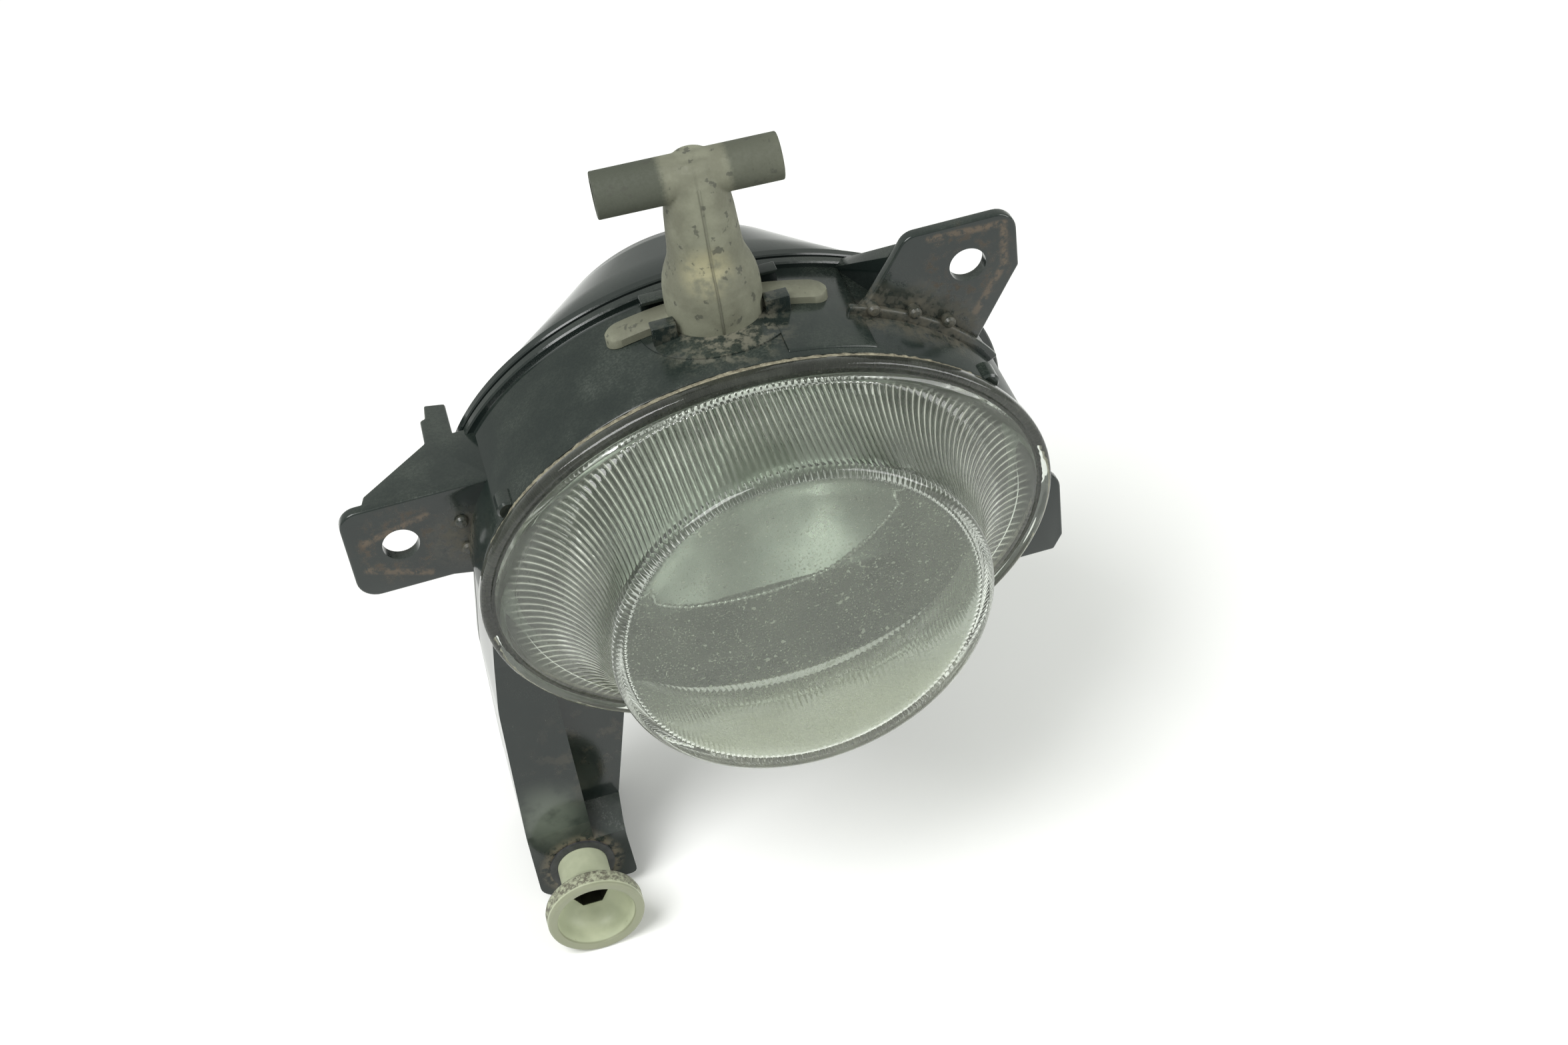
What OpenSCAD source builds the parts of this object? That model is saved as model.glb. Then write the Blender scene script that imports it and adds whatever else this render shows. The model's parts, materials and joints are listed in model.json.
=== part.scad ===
// Automotive front fog light, left or right bumper corner, millimetres.
// Everything is drawn in the lamp's own axes: the optical axis is Y, the lens faces -Y, +Z is up,
// and Y = 0 is the middle of the lens flange. The part's origin is the left bolt hole's centre,
// so placed() shifts the whole lamp by that hole's position.

/* [Lens] */
// Overall width of the oval lens flange
rim_w = 110; // [100:0.5:120]
// Overall height of the oval lens flange
rim_h = 80.4; // [78:0.1:84]
// How far the oval's centre sits below the optical axis
rim_drop = 2.1; // [1.5:0.1:3]
// Width of the plain band between flange edge and flutes, at the sides
band_side = 4.4; // [3:0.1:5]
// Width of the same band at the top and bottom
band_top = 3.5; // [3:0.1:4]
// Radius of the round nose at its bead
bead_r = 35; // [33:0.1:35.2]
// Radius of the plain front disc inside the bead
disc_r = 32.2; // [28:0.1:32.4]
// How far the front disc stands ahead of the flange
nose_len = 26.9; // [24:0.1:30]
// Glass thickness
glass_t = 2.4; // [2:0.1:3]

/* [Housing] */
// How far the drum's wall sits inside the flange's edge
drum_inset = 0.8; // [0.5:0.1:1.2]
// Front edge of the drum
drum_front = 3; // [2.6:0.1:4]
// Rear edge of the drum, where the rear shell joins
drum_back = 32.5; // [31:0.5:34]
// Wall thickness of both mouldings
wall = 2.2; // [2:0.1:2.4]
// How far the joining lip stands out of the drum
lip_out = 1.5; // [1:0.1:2]
// Thickness of the seam seal
seam_t = 0.8; // [0.5:0.1:1]
// Flat rear face of the rear shell
shell_back = 58; // [57:0.5:60]
// Radius of that rear face
shell_back_r = 32; // [30:0.5:33]

/* [Brackets] */
// Front face of the three bracket plates
plate_y = 16; // [14:0.5:18]
// Bracket plate thickness
plate_t = 2.3; // [2:0.1:3]
// Bolt hole radius, clearance for an M6 bolt
hole_r = 3.5; // [3.2:0.05:3.75]
// Left bolt hole centre, X and Z
left_hole = [-65.8, 7.2]; // [-70:0.1:12]
// Upper right bolt hole centre, X and Z
upper_hole = [46.7, 36.9]; // [30:0.1:50]
// Lower right bolt hole centre, X and Z
lower_hole = [52.5, -28.5]; // [-32:0.1:56]

/* [Adjuster] */
// Adjuster axis, X and Z
adj = [-48.8, -79.5]; // [-80:0.1:-45]
// Front face of the leg's end block
block_y = 5; // [4:0.5:6]
// Funnel mouth outer radius
funnel_r = 10; // [9:0.1:10.5]
// How far the funnel stands ahead of the end block
funnel_out = 15; // [13:0.5:17]
// Shaft radius
shaft_r = 5.2; // [4.8:0.05:5.4]
// Adjuster screw radius
screw_r = 2.5; // [2.2:0.05:2.8]

/* [Breather] */
// Centre of the breather on top of the drum, X and Y
tee_at = [0.3, 22]; // [-1:0.1:23]
// Turn of the tee about the vertical, degrees
tee_turn = -3; // [-6:1:6]
// Radius of the round bell that covers the spigot
tee_bell_r = 8.9; // [8:0.1:9]
// Height of the cross tube's axis above the optical axis
tee_top = 66.3; // [62:0.1:68]
// Cross tube radius and length
tube_r = 4.3; // [4.1:0.1:5]
tube_len = 33.4; // [30:0.1:36]

/* [Reflector] */
// Focal length of the reflector
focal = 13; // [12.5:0.1:13.5]
// Apex of the reflector's paraboloid
apex_y = 50; // [49.5:0.1:50.5]
// Front edge of the reflector
mirror_front = 7; // [6:0.1:8]
// Tilt axis, a horizontal line at this depth through the optical axis
pivot_y = 22; // [21:0.5:23]

/* [Hidden] */
$fn = 64;
eps = 0.05;

rim = [rim_w / 2, rim_h / 2];
drum = rim - [drum_inset, drum_inset];
drum_in = drum - [wall, wall];
lip = drum + [lip_out, lip_out];
flange_half = 1.2;
seam_front = drum_back;
seam_back = drum_back + seam_t;
rear_lip_back = seam_back + 2;
shell_mid = [47, 37.5];
shell_mid_y = 44;
pad_top = 37.6;
saddle_r = 71;
bush_r = 6;
drive_r = 3.5 / cos(30);
clip_y = block_y + 2.9;
collar_r = 20.5;
collar_in = 18.3;
collar_back = 66;
cap_in = collar_r + 0.25;
cap_r = 23;
cap_front = 58.6;
cap_wall_y = 67.4;
cap_back = 69.4;
mirror_t = 1.8;
mirror_oval = [47.5, 33.5];
nut_half = [3.6, 3, 3.6];
trunnion_r = 1.5;
trunnion_half = 6.6;
leg_front = 12;
leg_left = -58.4;
leg_right = -38;
leg_bottom = -86.6;
ramp_top = -26;
ramp_foot = -67.6;
ramp_right = -45.2;

black = "#1d2326";
rubber = "#6f6c5c";
pale = "#b5b3a0";

// ---------- helpers ----------

module placed() translate([-left_hole[0], -plate_y, -left_hole[1]]) children();

// Extrudes a shape drawn in X and Z between two depths.
module slab(y0, y1) translate([0, y1, 0]) rotate([90, 0, 0]) linear_extrude(y1 - y0) children();

// Extrudes a shape drawn in Y and Z between two X positions.
module rail(x0, x1) translate([x0, 0, 0]) rotate([90, 0, 90]) linear_extrude(x1 - x0) children();

// Turns a profile drawn as radius and depth about a line along Y.
module spun(x = 0, z = 0) translate([x, 0, z]) rotate([-90, 0, 0]) rotate_extrude() children();

module rod_y(r, y0, y1, x = 0, z = 0)
    translate([x, y0, z]) rotate([-90, 0, 0]) cylinder(r = r, h = y1 - y0);

module rod_x(r, x0, x1, y, z) translate([x0, y, z]) rotate([0, 90, 0]) cylinder(r = r, h = x1 - x0);

module oval(half, n = 72)
    polygon([for (i = [0:n - 1]) [half[0] * cos(360 * i / n), half[1] * sin(360 * i / n) - rim_drop]]);

// A band of a ring, from r0 to r1, wide degrees across, centred on angle.
module arc_tab(r0, r1, y0, y1, angle, wide)
    slab(y0, y1) intersection() {
        difference() { circle(r1); circle(r0); }
        polygon([[0, 0], for (k = [-2:2]) 2 * r1 * [cos(angle + k * wide / 4), sin(angle + k * wide / 4)]]);
    }

// Skin through rings of equal point counts, closed at both ends by flat caps.
module skin(rings) {
    n = len(rings[0]);
    last = (len(rings) - 1) * n;
    points = [for (ring = rings) each ring];
    sides = [
        for (k = [0:len(rings) - 2]) for (i = [0:n - 1])
            [k * n + i, k * n + (i + 1) % n, (k + 1) * n + (i + 1) % n, (k + 1) * n + i]
    ];
    polyhedron(points, concat([[for (i = [n - 1:-1:0]) i]], sides, [[for (i = [0:n - 1]) last + i]]));
}

// Skin around rings that close on themselves, such as a bowl with thickness.
module closed_skin(rings) {
    n = len(rings[0]);
    m = len(rings);
    points = [for (ring = rings) each ring];
    sides = [
        for (k = [0:m - 1]) for (i = [0:n - 1]) let (next = (k + 1) % m)
            [k * n + i, k * n + (i + 1) % n, next * n + (i + 1) % n, next * n + i]
    ];
    polyhedron(points, sides);
}

// ---------- lens ----------

function lens_ring(y, a, b, zc, n = 60) =
    [for (i = [0:n - 1]) [a * cos(360 * i / n), y, zc + b * sin(360 * i / n)]];

// The flare is a quarter ellipse in section: it leaves the band inward and meets the nose straight.
function flare_ring(u, t) = let (
    y0 = -flange_half - 0.8 + t,
    y1 = -nose_len + 3.4,
    s = 1 - sin(u),
    a0 = rim[0] - band_side,
    b0 = rim[1] - band_top)
    lens_ring(y0 + (y1 - y0) * (1 - cos(u)), bead_r - t + (a0 - bead_r) * s, bead_r - t + (b0 - bead_r) * s,
              -rim_drop * s);

flare_steps = [0, 12, 26, 40, 55, 72, 90];

lens_rings = concat(
    [lens_ring(-nose_len + glass_t - 0.9, 5, 5, 0)],
    [lens_ring(-nose_len + glass_t, disc_r, disc_r, 0)],
    [for (k = [len(flare_steps) - 1:-1:0]) flare_ring(flare_steps[k], glass_t)],
    [lens_ring(flange_half, rim[0] - band_side - glass_t, rim[1] - band_top - glass_t, -rim_drop)],
    [lens_ring(flange_half, rim[0], rim[1], -rim_drop)],
    [lens_ring(-flange_half, rim[0], rim[1], -rim_drop)],
    [for (u = flare_steps) flare_ring(u, 0)],
    [lens_ring(-nose_len + 1.9, bead_r + 0.2, bead_r + 0.2, 0)],
    [lens_ring(-nose_len + 0.6, bead_r - 1, bead_r - 1, 0)],
    [lens_ring(-nose_len, disc_r, disc_r, 0)],
    [lens_ring(-nose_len - 0.9, 5, 5, 0)]
);

module lens() color("#aab3a8", 0.4) placed() skin(lens_rings);

module lens_sealant() color("#4a4136") placed()
    slab(flange_half, drum_front) difference() {
        oval(drum + [0.3, 0.3]);
        oval(drum_in - [0.6, 0.6]);
    }

// ---------- housing ----------

module leg_outline() polygon([
    [-46, -10], [-53.4, -12], [-57, -36], [leg_left, ramp_foot], [leg_left, leg_bottom + 2],
    [leg_left + 2, leg_bottom], [leg_right, leg_bottom], [leg_right - 0.6, -73], [-31, -38], [-31, -30]
]);

module leg_hollow() polygon([
    [-43, -21], [-50.2, -15], [-54.7, -36], [leg_left + wall, ramp_foot], [leg_left + wall, leg_bottom + wall],
    [leg_right - wall, leg_bottom + wall], [leg_right - wall - 0.6, -72], [-33.6, -40], [-34, -28]
]);

// Side view of the leg: plain upper part, sloping ramp and end block.
module leg_side(ramp, t = 0) polygon(ramp
    ? [[drum_back, -8], [leg_front + t, -8], [leg_front + t, ramp_top], [block_y + t + t / 3, ramp_foot - t / 2],
       [block_y + t, leg_bottom - 1], [drum_back, leg_bottom - 1]]
    : [[drum_back, -8], [leg_front + t, -8], [leg_front + t, -69 - t / 2], [block_y + t, -73 - t / 2],
       [block_y + t, leg_bottom - 1], [drum_back, leg_bottom - 1]]);

module leg() intersection() {
    slab(0, drum_back) leg_outline();
    union() {
        rail(leg_left - 1, ramp_right) leg_side(true);
        rail(leg_left - 1, 0) leg_side(false);
    }
}

module leg_space() intersection() {
    slab(0, drum_back + 1) leg_hollow();
    translate([0, eps, 0]) union() {
        rail(leg_left, ramp_right - wall) leg_side(true, wall + 0.3);
        rail(leg_left, 0) leg_side(false, wall + 0.3);
    }
}

module outer_seam() {
    oval(lip);
    leg_outline();
}

module left_bracket() {
    top = 17;
    slab(plate_y, plate_y + plate_t) polygon([
        [-48, top], for (k = [0:4]) [-72.2 - 3.6 * sin(k * 22.5), top - 3.6 + 3.6 * cos(k * 22.5)],
        for (k = [0:4]) [-71.8 - 4 * cos(k * 22.5), 0.5 - 4 * sin(k * 22.5)], [-58, -3.4], [-50, -5]
    ]);
    // top gusset with its locating tongue
    translate([0, 0, top - 2.2]) linear_extrude(2.2)
        polygon([[-47, plate_y], [-71.5, plate_y], [-70.2, plate_y + 4.3], [-57, 31.2], [-56.8, 38.2], [-55.8, 38.6],
                 [-55.4, 42.6], [-51.4, 41.6], [-51.4, drum_back - 0.2], [-46, drum_back - 0.2]]);
    // root pips
    for (z = [9, 2.4]) rod_y(1.3, plate_y - 0.8, plate_y + 1, -54, z);
}

module upper_bracket() {
    top = 46.2;
    slab(plate_y, plate_y + plate_t) polygon([
        [22, 30], [27.5, 34.5], [33.2, 42.6],
        for (k = [0:3]) [37.4 - 3.4 * cos(20 + k * 22), top - 3.4 + 3.4 * sin(22 + k * 22)],
        for (k = [0:4]) [52.4 + 4 * sin(k * 22.5), top - 4 + 4 * cos(k * 22.5)],
        [56.4, 34], [55, 31.8], [46.6, 18], [40, 15]
    ]);
    // side gusset back to the joining lip
    slab(plate_y + plate_t - eps, plate_y + plate_t + 0.6) polygon([[27, 32], [33.2, 42.6], [35.4, 43.4], [36, 30]]);
    hull() {
        slab(plate_y + plate_t - eps, plate_y + plate_t + 0.3) polygon([[32.4, 41.4], [34.4, 43.6], [36.4, 38], [33, 30]]);
        slab(drum_back - eps, drum_back) polygon([[24, 32], [26.4, 33.4], [27, 30]]);
    }
    // dusty root shelf and pips
    slab(plate_y - 1.6, plate_y + 0.2) intersection() {
        difference() { oval(drum + [2.4, 2.4]); oval(drum - [0.6, 0.6]); }
        polygon([[22, 30], [26, 40], [56, 26], [48, 14]]);
    }
    for (p = [[27.9, 33.4], [35.6, 30.4], [41.9, 26.4]]) rod_y(1.2, plate_y - 2.4, plate_y + 1, p[0], p[1]);
}

module lower_bracket() {
    slab(plate_y, plate_y + plate_t) polygon([
        [40, -14], [56.5, -18], for (k = [0:4]) [58.4 + 4 * sin(k * 22.5), -22.4 + 4 * cos(k * 22.5)],
        [62.4, -35.4], [60.4, -38.8], [44, -38.8], [32, -33]
    ]);
    // diagonal stiffening rib on the back
    slab(plate_y + plate_t - eps, plate_y + plate_t + 3)
        polygon([[36, -32], [59, -38.6], [59, -36.8], [36, -29.6]]);
}

// Everything below the drum's rounded top, raised by up.
module saddle(up = 0) translate([tee_at[0], 0, 0]) slab(tee_at[1] - 16, drum_back)
    translate([0, pad_top - saddle_r]) circle(saddle_r + up);

// Catches that hold the tee's two wings down.
module wing_catches() {
    for (sx = [-1, 1]) for (sy = [-1, 1]) translate([tee_at[0] + sx * 10.6, tee_at[1] + sy * 5, 0]) {
        translate([-2.3, -0.7, 34.4]) cube([4.6, 1.4, 5.8]);
        translate([-2.3, sy > 0 ? -2 : -0.7, 39.35]) cube([4.6, 2.7, 0.85]);
    }
}

module front_housing() color(black) placed() difference() {
    union() {
        difference() {
            union() {
                slab(drum_front, drum_back) oval(drum);
                slab(drum_back - 2, drum_back) outer_seam();
                leg();
                // pad and spigot under the breather
                intersection() {
                    translate([tee_at[0], tee_at[1], 34]) cylinder(r = 15, h = 5);
                    saddle();
                }
                left_bracket();
                upper_bracket();
                lower_bracket();
            }
            slab(drum_front - 1, drum_back + 1) oval(drum_in);
            leg_space();
        }
        translate([tee_at[0], tee_at[1], 34.6]) cylinder(r = 5, h = 10.4);
        wing_catches();
        // bosses for the pivot pins
        for (s = [-1, 1]) intersection() {
            rod_x(4, s > 0 ? 50.4 : -53, s > 0 ? 53 : -50.4, pivot_y, 0);
            slab(0, drum_back) oval(drum);
        }
        // lugs at the front edge
        for (s = [-1, 1]) rod_y(2, drum_front, drum_front + 5, s * 45.4, 18.9);
    }
    translate([tee_at[0], tee_at[1], 30]) cylinder(r = 3, h = 20);
    for (h = [left_hole, upper_hole, lower_hole]) rod_y(hole_r, plate_y - 1, plate_y + plate_t + 1, h[0], h[1]);
    rod_y(bush_r, 0, block_y + wall + 0.4, adj[0], adj[1]);
    for (s = [-1, 1]) rod_x(1.5, s > 0 ? 49 : -52.4, s > 0 ? 52.4 : -49, pivot_y, 0);
}

module seam_seal() color("#15181a") placed() slab(seam_front, seam_back) difference() {
    union() { oval(drum + [0.8, 0.8]); leg_outline(); }
    oval(drum_in);
    leg_hollow();
}

module shell_form(t) hull() {
    slab(seam_back, rear_lip_back - 0.5) oval(drum - [t + 1, t + 1]);
    slab(shell_mid_y, shell_mid_y + 0.1) oval(shell_mid - [t, t]);
    slab(shell_back - t - 0.1, shell_back - t) circle(shell_back_r - t);
}

module rear_housing() color(black) placed() difference() {
    union() {
        difference() {
            union() {
                slab(seam_back, rear_lip_back) outer_seam();
                shell_form(0);
                rod_y(collar_r, shell_back - 2, collar_back);
            }
            shell_form(wall);
            slab(seam_back - 1, rear_lip_back - 0.4) oval(drum_in);
        }
        // rear bearing of the adjuster screw, on the leg's back cover
        rod_y(4.2, drum_back - 4, seam_back + 1, adj[0], adj[1]);
        // bayonet catches for the rear cap
        for (a = [30, 150, 270]) {
            arc_tab(26, 27.8, shell_back - 1, 62, a, 22);
            arc_tab(23.4, 27.8, 60.7, 62, a, 22);
        }
    }
    rod_y(collar_in, shell_back - 5, collar_back + 1);
    rod_y(screw_r + 0.08, drum_back - 5, seam_back + 0.6, adj[0], adj[1]);
}

// ---------- breather ----------

module tee_place() translate([tee_at[0], tee_at[1], 0]) rotate([0, 0, tee_turn]) children();

module breather_tee() color(rubber) placed() difference() {
    union() {
        tee_place() {
            rotate_extrude() polygon([
                [0, 37], [tee_bell_r, 37], [tee_bell_r + 0.1, 42], [8.6, 45], [7.9, 48], [6.9, 50.4],
                [6.6, 54], [6.2, 59], [5.4, 63], [4.8, tee_top], [0, tee_top + 2]
            ]);
            translate([-tube_len / 2 - 1.1, 0, tee_top]) rotate([0, 90, 0]) cylinder(r = tube_r, h = tube_len);
        }
        // two wings with round ends, bent down over the drum
        intersection() {
            saddle(2);
            tee_place() translate([0, 0, 32]) linear_extrude(9) {
                translate([-18, -2.8]) square([36, 5.6]);
                for (s = [-1, 1]) translate([s * 18, 0]) circle(2.8);
            }
        }
    }
    saddle();
    tee_place() {
        translate([0, 0, 36]) cylinder(r = 5.1, h = 9.2);
        translate([0, 0, 44]) cylinder(r = 2.6, h = tee_top - 44);
        translate([-tube_len, 0, tee_top]) rotate([0, 90, 0]) cylinder(r = 2.8, h = 2 * tube_len);
    }
}

// ---------- reflector ----------

function polar_oval(half, angle) = let (
    p = pow(cos(angle) / half[0], 2) + pow(sin(angle) / half[1], 2),
    q = sin(angle) * rim_drop / pow(half[1], 2),
    c = pow(rim_drop / half[1], 2) - 1)
    (-q + sqrt(q * q - p * c)) / p;

// One ring of the bowl: the paraboloid's radius at this depth, cut by the oval.
function bowl_ring(y, t, n = 60) = [
    for (i = [0:n - 1]) let (
        angle = 360 * i / n,
        r = min(sqrt(max(4 * focal * (apex_y - y), 1)) + t, polar_oval(mirror_oval + [t, t], angle)))
        [r * cos(angle), y, r * sin(angle)]
];

bowl_steps = [7, 9.5, 13, 17, 21.5, 26, 30, 34, 38, 41.5, 44.5, 47, 48.9];

// The bowl is one skin: out over the back, then in again over the mirror face.
module bowl() {
    back_rings = [for (y = bowl_steps) bowl_ring(y, mirror_t)];
    face_rings = [for (k = [len(bowl_steps) - 1:-1:0]) bowl_ring(bowl_steps[k], 0)];
    closed_skin(concat(back_rings, face_rings));
}

// One prong, drawn in Y and Z, with a round-topped slot for the nut's trunnion.
module fork_side() {
    slot = trunnion_r + 0.35;
    polygon([
        [pivot_y - 4, -83], [pivot_y - 4, -70.4], [pivot_y + 4, -70.4], [pivot_y + 4, -83], [pivot_y + slot, -83],
        for (a = [0:15:180]) [pivot_y + slot * cos(a), adj[1] + slot * sin(a)], [pivot_y - slot, -83]
    ]);
}

module reflector_arm() {
    slab(pivot_y - 5, pivot_y + 2) polygon([[-31, -28.6], [-38, -20.4], [-41, -25.5], [-36, -30.6]]);
    slab(pivot_y - 2.5, pivot_y + 2.5) polygon([
        [-34.9, -25.2], [-37.6, -21.8], [-51.4, -40], [-51.4, -68], [-55, -69.4], [-55, -71.4],
        [-42.6, -71.4], [-42.6, -69.4], [-46.4, -68], [-46.4, -44], [-35.6, -31]
    ]);
    // fork around the nut, open at the bottom
    for (s = [-1, 1]) rail(adj[0] + s * 5.3 - 0.8, adj[0] + s * 5.3 + 0.8) fork_side();
}

// Bulb seat behind the bowl: plain bore, bayonet groove and retaining edge.
module bulb_seat() difference() {
    spun() polygon([
        [8.4, 49], [12, 47.5], [15.5, 45.7], [15.5, 54], [11.1, 54], [11.1, 53.1], [12.9, 53.1], [12.9, 50.7],
        [11.1, 50.7], [11.1, 50], [8.4, 50]
    ]);
    for (a = [90, 210, 330]) arc_tab(10.5, 12.9, 52, 55, a + 45, 34);
}

module reflector() color("#c9cccb") placed() {
    difference() {
        union() {
            bowl();
            for (s = [-1, 1]) rod_x(4, s > 0 ? 40.9 : -49.9, s > 0 ? 49.9 : -40.9, pivot_y, 0);
        }
        for (s = [-1, 1]) rod_x(2.6, s > 0 ? 44 : -51, s > 0 ? 51 : -44, pivot_y, 0);
    }
    reflector_arm();
    bulb_seat();
}

module pivot_pins() color("silver") placed()
    for (s = [-1, 1]) rod_x(1.5, s > 0 ? 45.5 : -52.4, s > 0 ? 52.4 : -45.5, pivot_y, 0);

module pivot_bushes() color("white") placed()
    for (s = [-1, 1]) difference() {
        rod_x(2.6, s > 0 ? 44 : -49.9, s > 0 ? 49.9 : -44, pivot_y, 0);
        rod_x(1.56, s > 0 ? 45 : -51, s > 0 ? 51 : -45, pivot_y, 0);
    }

// ---------- bulb ----------

module bulb_base() color("#3a3d40") placed() difference() {
    union() {
        rod_y(10.8, 50.3, 55.4);
        rod_y(14.5, 55.4, 57.4);
        rod_y(9, 57.4, 62);
        for (a = [90, 210, 330]) arc_tab(10.5, 12.6, 51.1, 52.8, a, 30);
        // finger grips
        for (a = [0, 180]) arc_tab(14, 15.6, 55.4, 57.4, a, 24);
    }
    rod_y(5.7, 50, 53);
    for (s = [-1, 1]) translate([s * 3.4 - 0.4, 53, -3.2]) cube([0.8, 10, 6.4]);
}

module bulb_seal() color("#26282a") placed() difference() {
    rod_y(13.8, 54.4, 55.4);
    rod_y(11.6, 54, 56);
}

module bulb_collar() color("silver") placed() difference() {
    rod_y(6.8, 45, 50.3);
    rod_y(5.75, 44, 51);
}

module bulb_glass() color("white", 0.4) placed() spun() polygon([
    [0, 23], [1.5, 23.4], [3.4, 25], [4.9, 27.4], [5.6, 30], [5.6, 50.2], [4.6, 50.2], [4.6, 30.4], [4, 28],
    [2.8, 26], [1.2, 24.9], [0, 24.7]
]);

module bulb_filament() color("dimgray") placed() rod_y(0.9, 34.7, 39.3);

module bulb_lead_posts() color("silver") placed() {
    rod_y(0.4, 40.4, 52.9, 0, -0.9);
    translate([-0.4, 39.3, -1.3]) cube([0.8, 1.3, 1.3]);
    rod_y(0.4, 33.4, 52.9, 0, 2.6);
    translate([-0.4, 33.4, -0.4]) cube([0.8, 1.3, 3.4]);
}

module bulb_contacts() color("#b8a060") placed()
    for (s = [-1, 1]) translate([s * 3.4 - 0.4, 53, -3.15]) cube([0.8, 12.4, 6.3]);

// ---------- adjuster ----------

module adjuster_knob() color(pale) placed() difference() {
    spun(adj[0], adj[1]) polygon([
        [0, -3], [0, 13], [3.4, 13], [3.8, 12.6], [3.8, clip_y + 0.85], [3, clip_y + 0.85], [3, clip_y - 0.05],
        [3.8, clip_y - 0.05], [3.8, block_y + 2.5], [shaft_r, block_y + 2.5], [shaft_r, block_y + 2],
        [3.5, block_y + 2], [3.5, block_y + 0.2], [shaft_r, block_y + 0.2],
        [shaft_r, -1.6], [6, -3.4], [funnel_r - 0.6, -5.8], [funnel_r, -6.6], [funnel_r, block_y - funnel_out + 0.4],
        [funnel_r - 0.4, block_y - funnel_out], [8, block_y - funnel_out], [7.7, -6.4], [6.8, -4.8], [4.4, -3]
    ]);
    // hexagonal drive recess
    translate([adj[0], -4, adj[1]]) rotate([-90, 30, 0]) cylinder(r = drive_r, h = 8, $fn = 6);
    rod_y(screw_r, 9.2, 15, adj[0], adj[1]);
}

module adjuster_screw() color("silver") placed() rod_y(screw_r, 9.2, 33, adj[0], adj[1]);

module adjuster_shaft_seal() color("#26282a") placed()
    spun(adj[0], adj[1]) translate([4.34, block_y + 1.1]) circle(0.84);

module adjuster_clip() color("silver") placed() difference() {
    rod_y(4.6, clip_y, clip_y + 0.8, adj[0], adj[1]);
    rod_y(3, 0, 20, adj[0], adj[1]);
    translate([adj[0] - 2, 0, adj[1] - 9]) cube([4, 20, 9]);
}

module adjuster_bush() color("#2b2e30") placed() difference() {
    union() {
        rod_y(bush_r, block_y, block_y + 2.5, adj[0], adj[1]);
        rod_y(6.8, block_y - 0.5, block_y, adj[0], adj[1]);
    }
    rod_y(shaft_r + 0.08, 0, 12, adj[0], adj[1]);
}

module adjuster_nut() color("#d8d6c8") placed() difference() {
    union() {
        translate([adj[0] - nut_half[0], pivot_y - nut_half[1], adj[1] - nut_half[2]]) cube(2 * nut_half);
        rod_x(trunnion_r, adj[0] - trunnion_half, adj[0] + trunnion_half, pivot_y, adj[1]);
    }
    rod_y(screw_r + 0.08, pivot_y - 10, pivot_y + 10, adj[0], adj[1]);
}

// ---------- rear cap ----------

socket_half = [8, 6];
socket_back = 84;

module rear_cap() color(black) placed() difference() {
    union() {
        rod_y(cap_r, cap_front, cap_back);
        for (a = [30, 150, 270]) arc_tab(cap_r - 1, 25.6, cap_front, 60.3, a, 18);
        // grip ribs
        for (a = [0:30:330]) rotate([0, a, 0]) translate([cap_r - 0.4, 62.6, -0.8]) cube([1.2, cap_back - 63.2, 1.6]);
        translate([-socket_half[0], cap_back - 1, -socket_half[1]])
            cube([2 * socket_half[0], socket_back - cap_back + 1, 2 * socket_half[1]]);
        // latch nib for the plug
        translate([-2, 76, socket_half[1] - 0.2]) cube([4, 3, 1.4]);
    }
    rod_y(cap_in, cap_front - 1, cap_wall_y);
    translate([1.5 - socket_half[0], 71.4, 1.5 - socket_half[1]])
        cube([2 * socket_half[0] - 3, 20, 2 * socket_half[1] - 3]);
    for (s = [-1, 1]) translate([s * 3 - 0.4, 60, -1.4]) cube([0.8, 20, 2.8]);
}

module rear_cap_seal() color("#26282a") placed() difference() {
    rod_y(cap_in, 66.4, cap_wall_y);
    rod_y(17.4, 66, 68);
}

module connector_terminals() color("#b8a060") placed()
    for (s = [-1, 1]) translate([s * 3 - 0.4, 67.4, -1.4]) cube([0.8, 9, 2.8]);

front_housing();
rear_housing();
seam_seal();
lens();
lens_sealant();
breather_tee();
pivot_pins();
adjuster_bush();
reflector();
pivot_bushes();
bulb_base();
bulb_seal();
bulb_collar();
bulb_glass();
bulb_filament();
bulb_lead_posts();
bulb_contacts();
adjuster_knob();
adjuster_screw();
adjuster_shaft_seal();
adjuster_clip();
adjuster_nut();
rear_cap();
rear_cap_seal();
connector_terminals();
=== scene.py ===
"""Looks for the fog light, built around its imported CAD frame.

Shapes are worked out in the lamp's own axes, in millimetres: the optical axis is Y, the lens faces -Y,
+Z is up and Y = 0 is the middle of the lens flange. LAMP is that origin in the frame, in metres.
"""

import json
import math

import bmesh
import bpy
from mathutils import Euler, Matrix, Vector, noise


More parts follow.
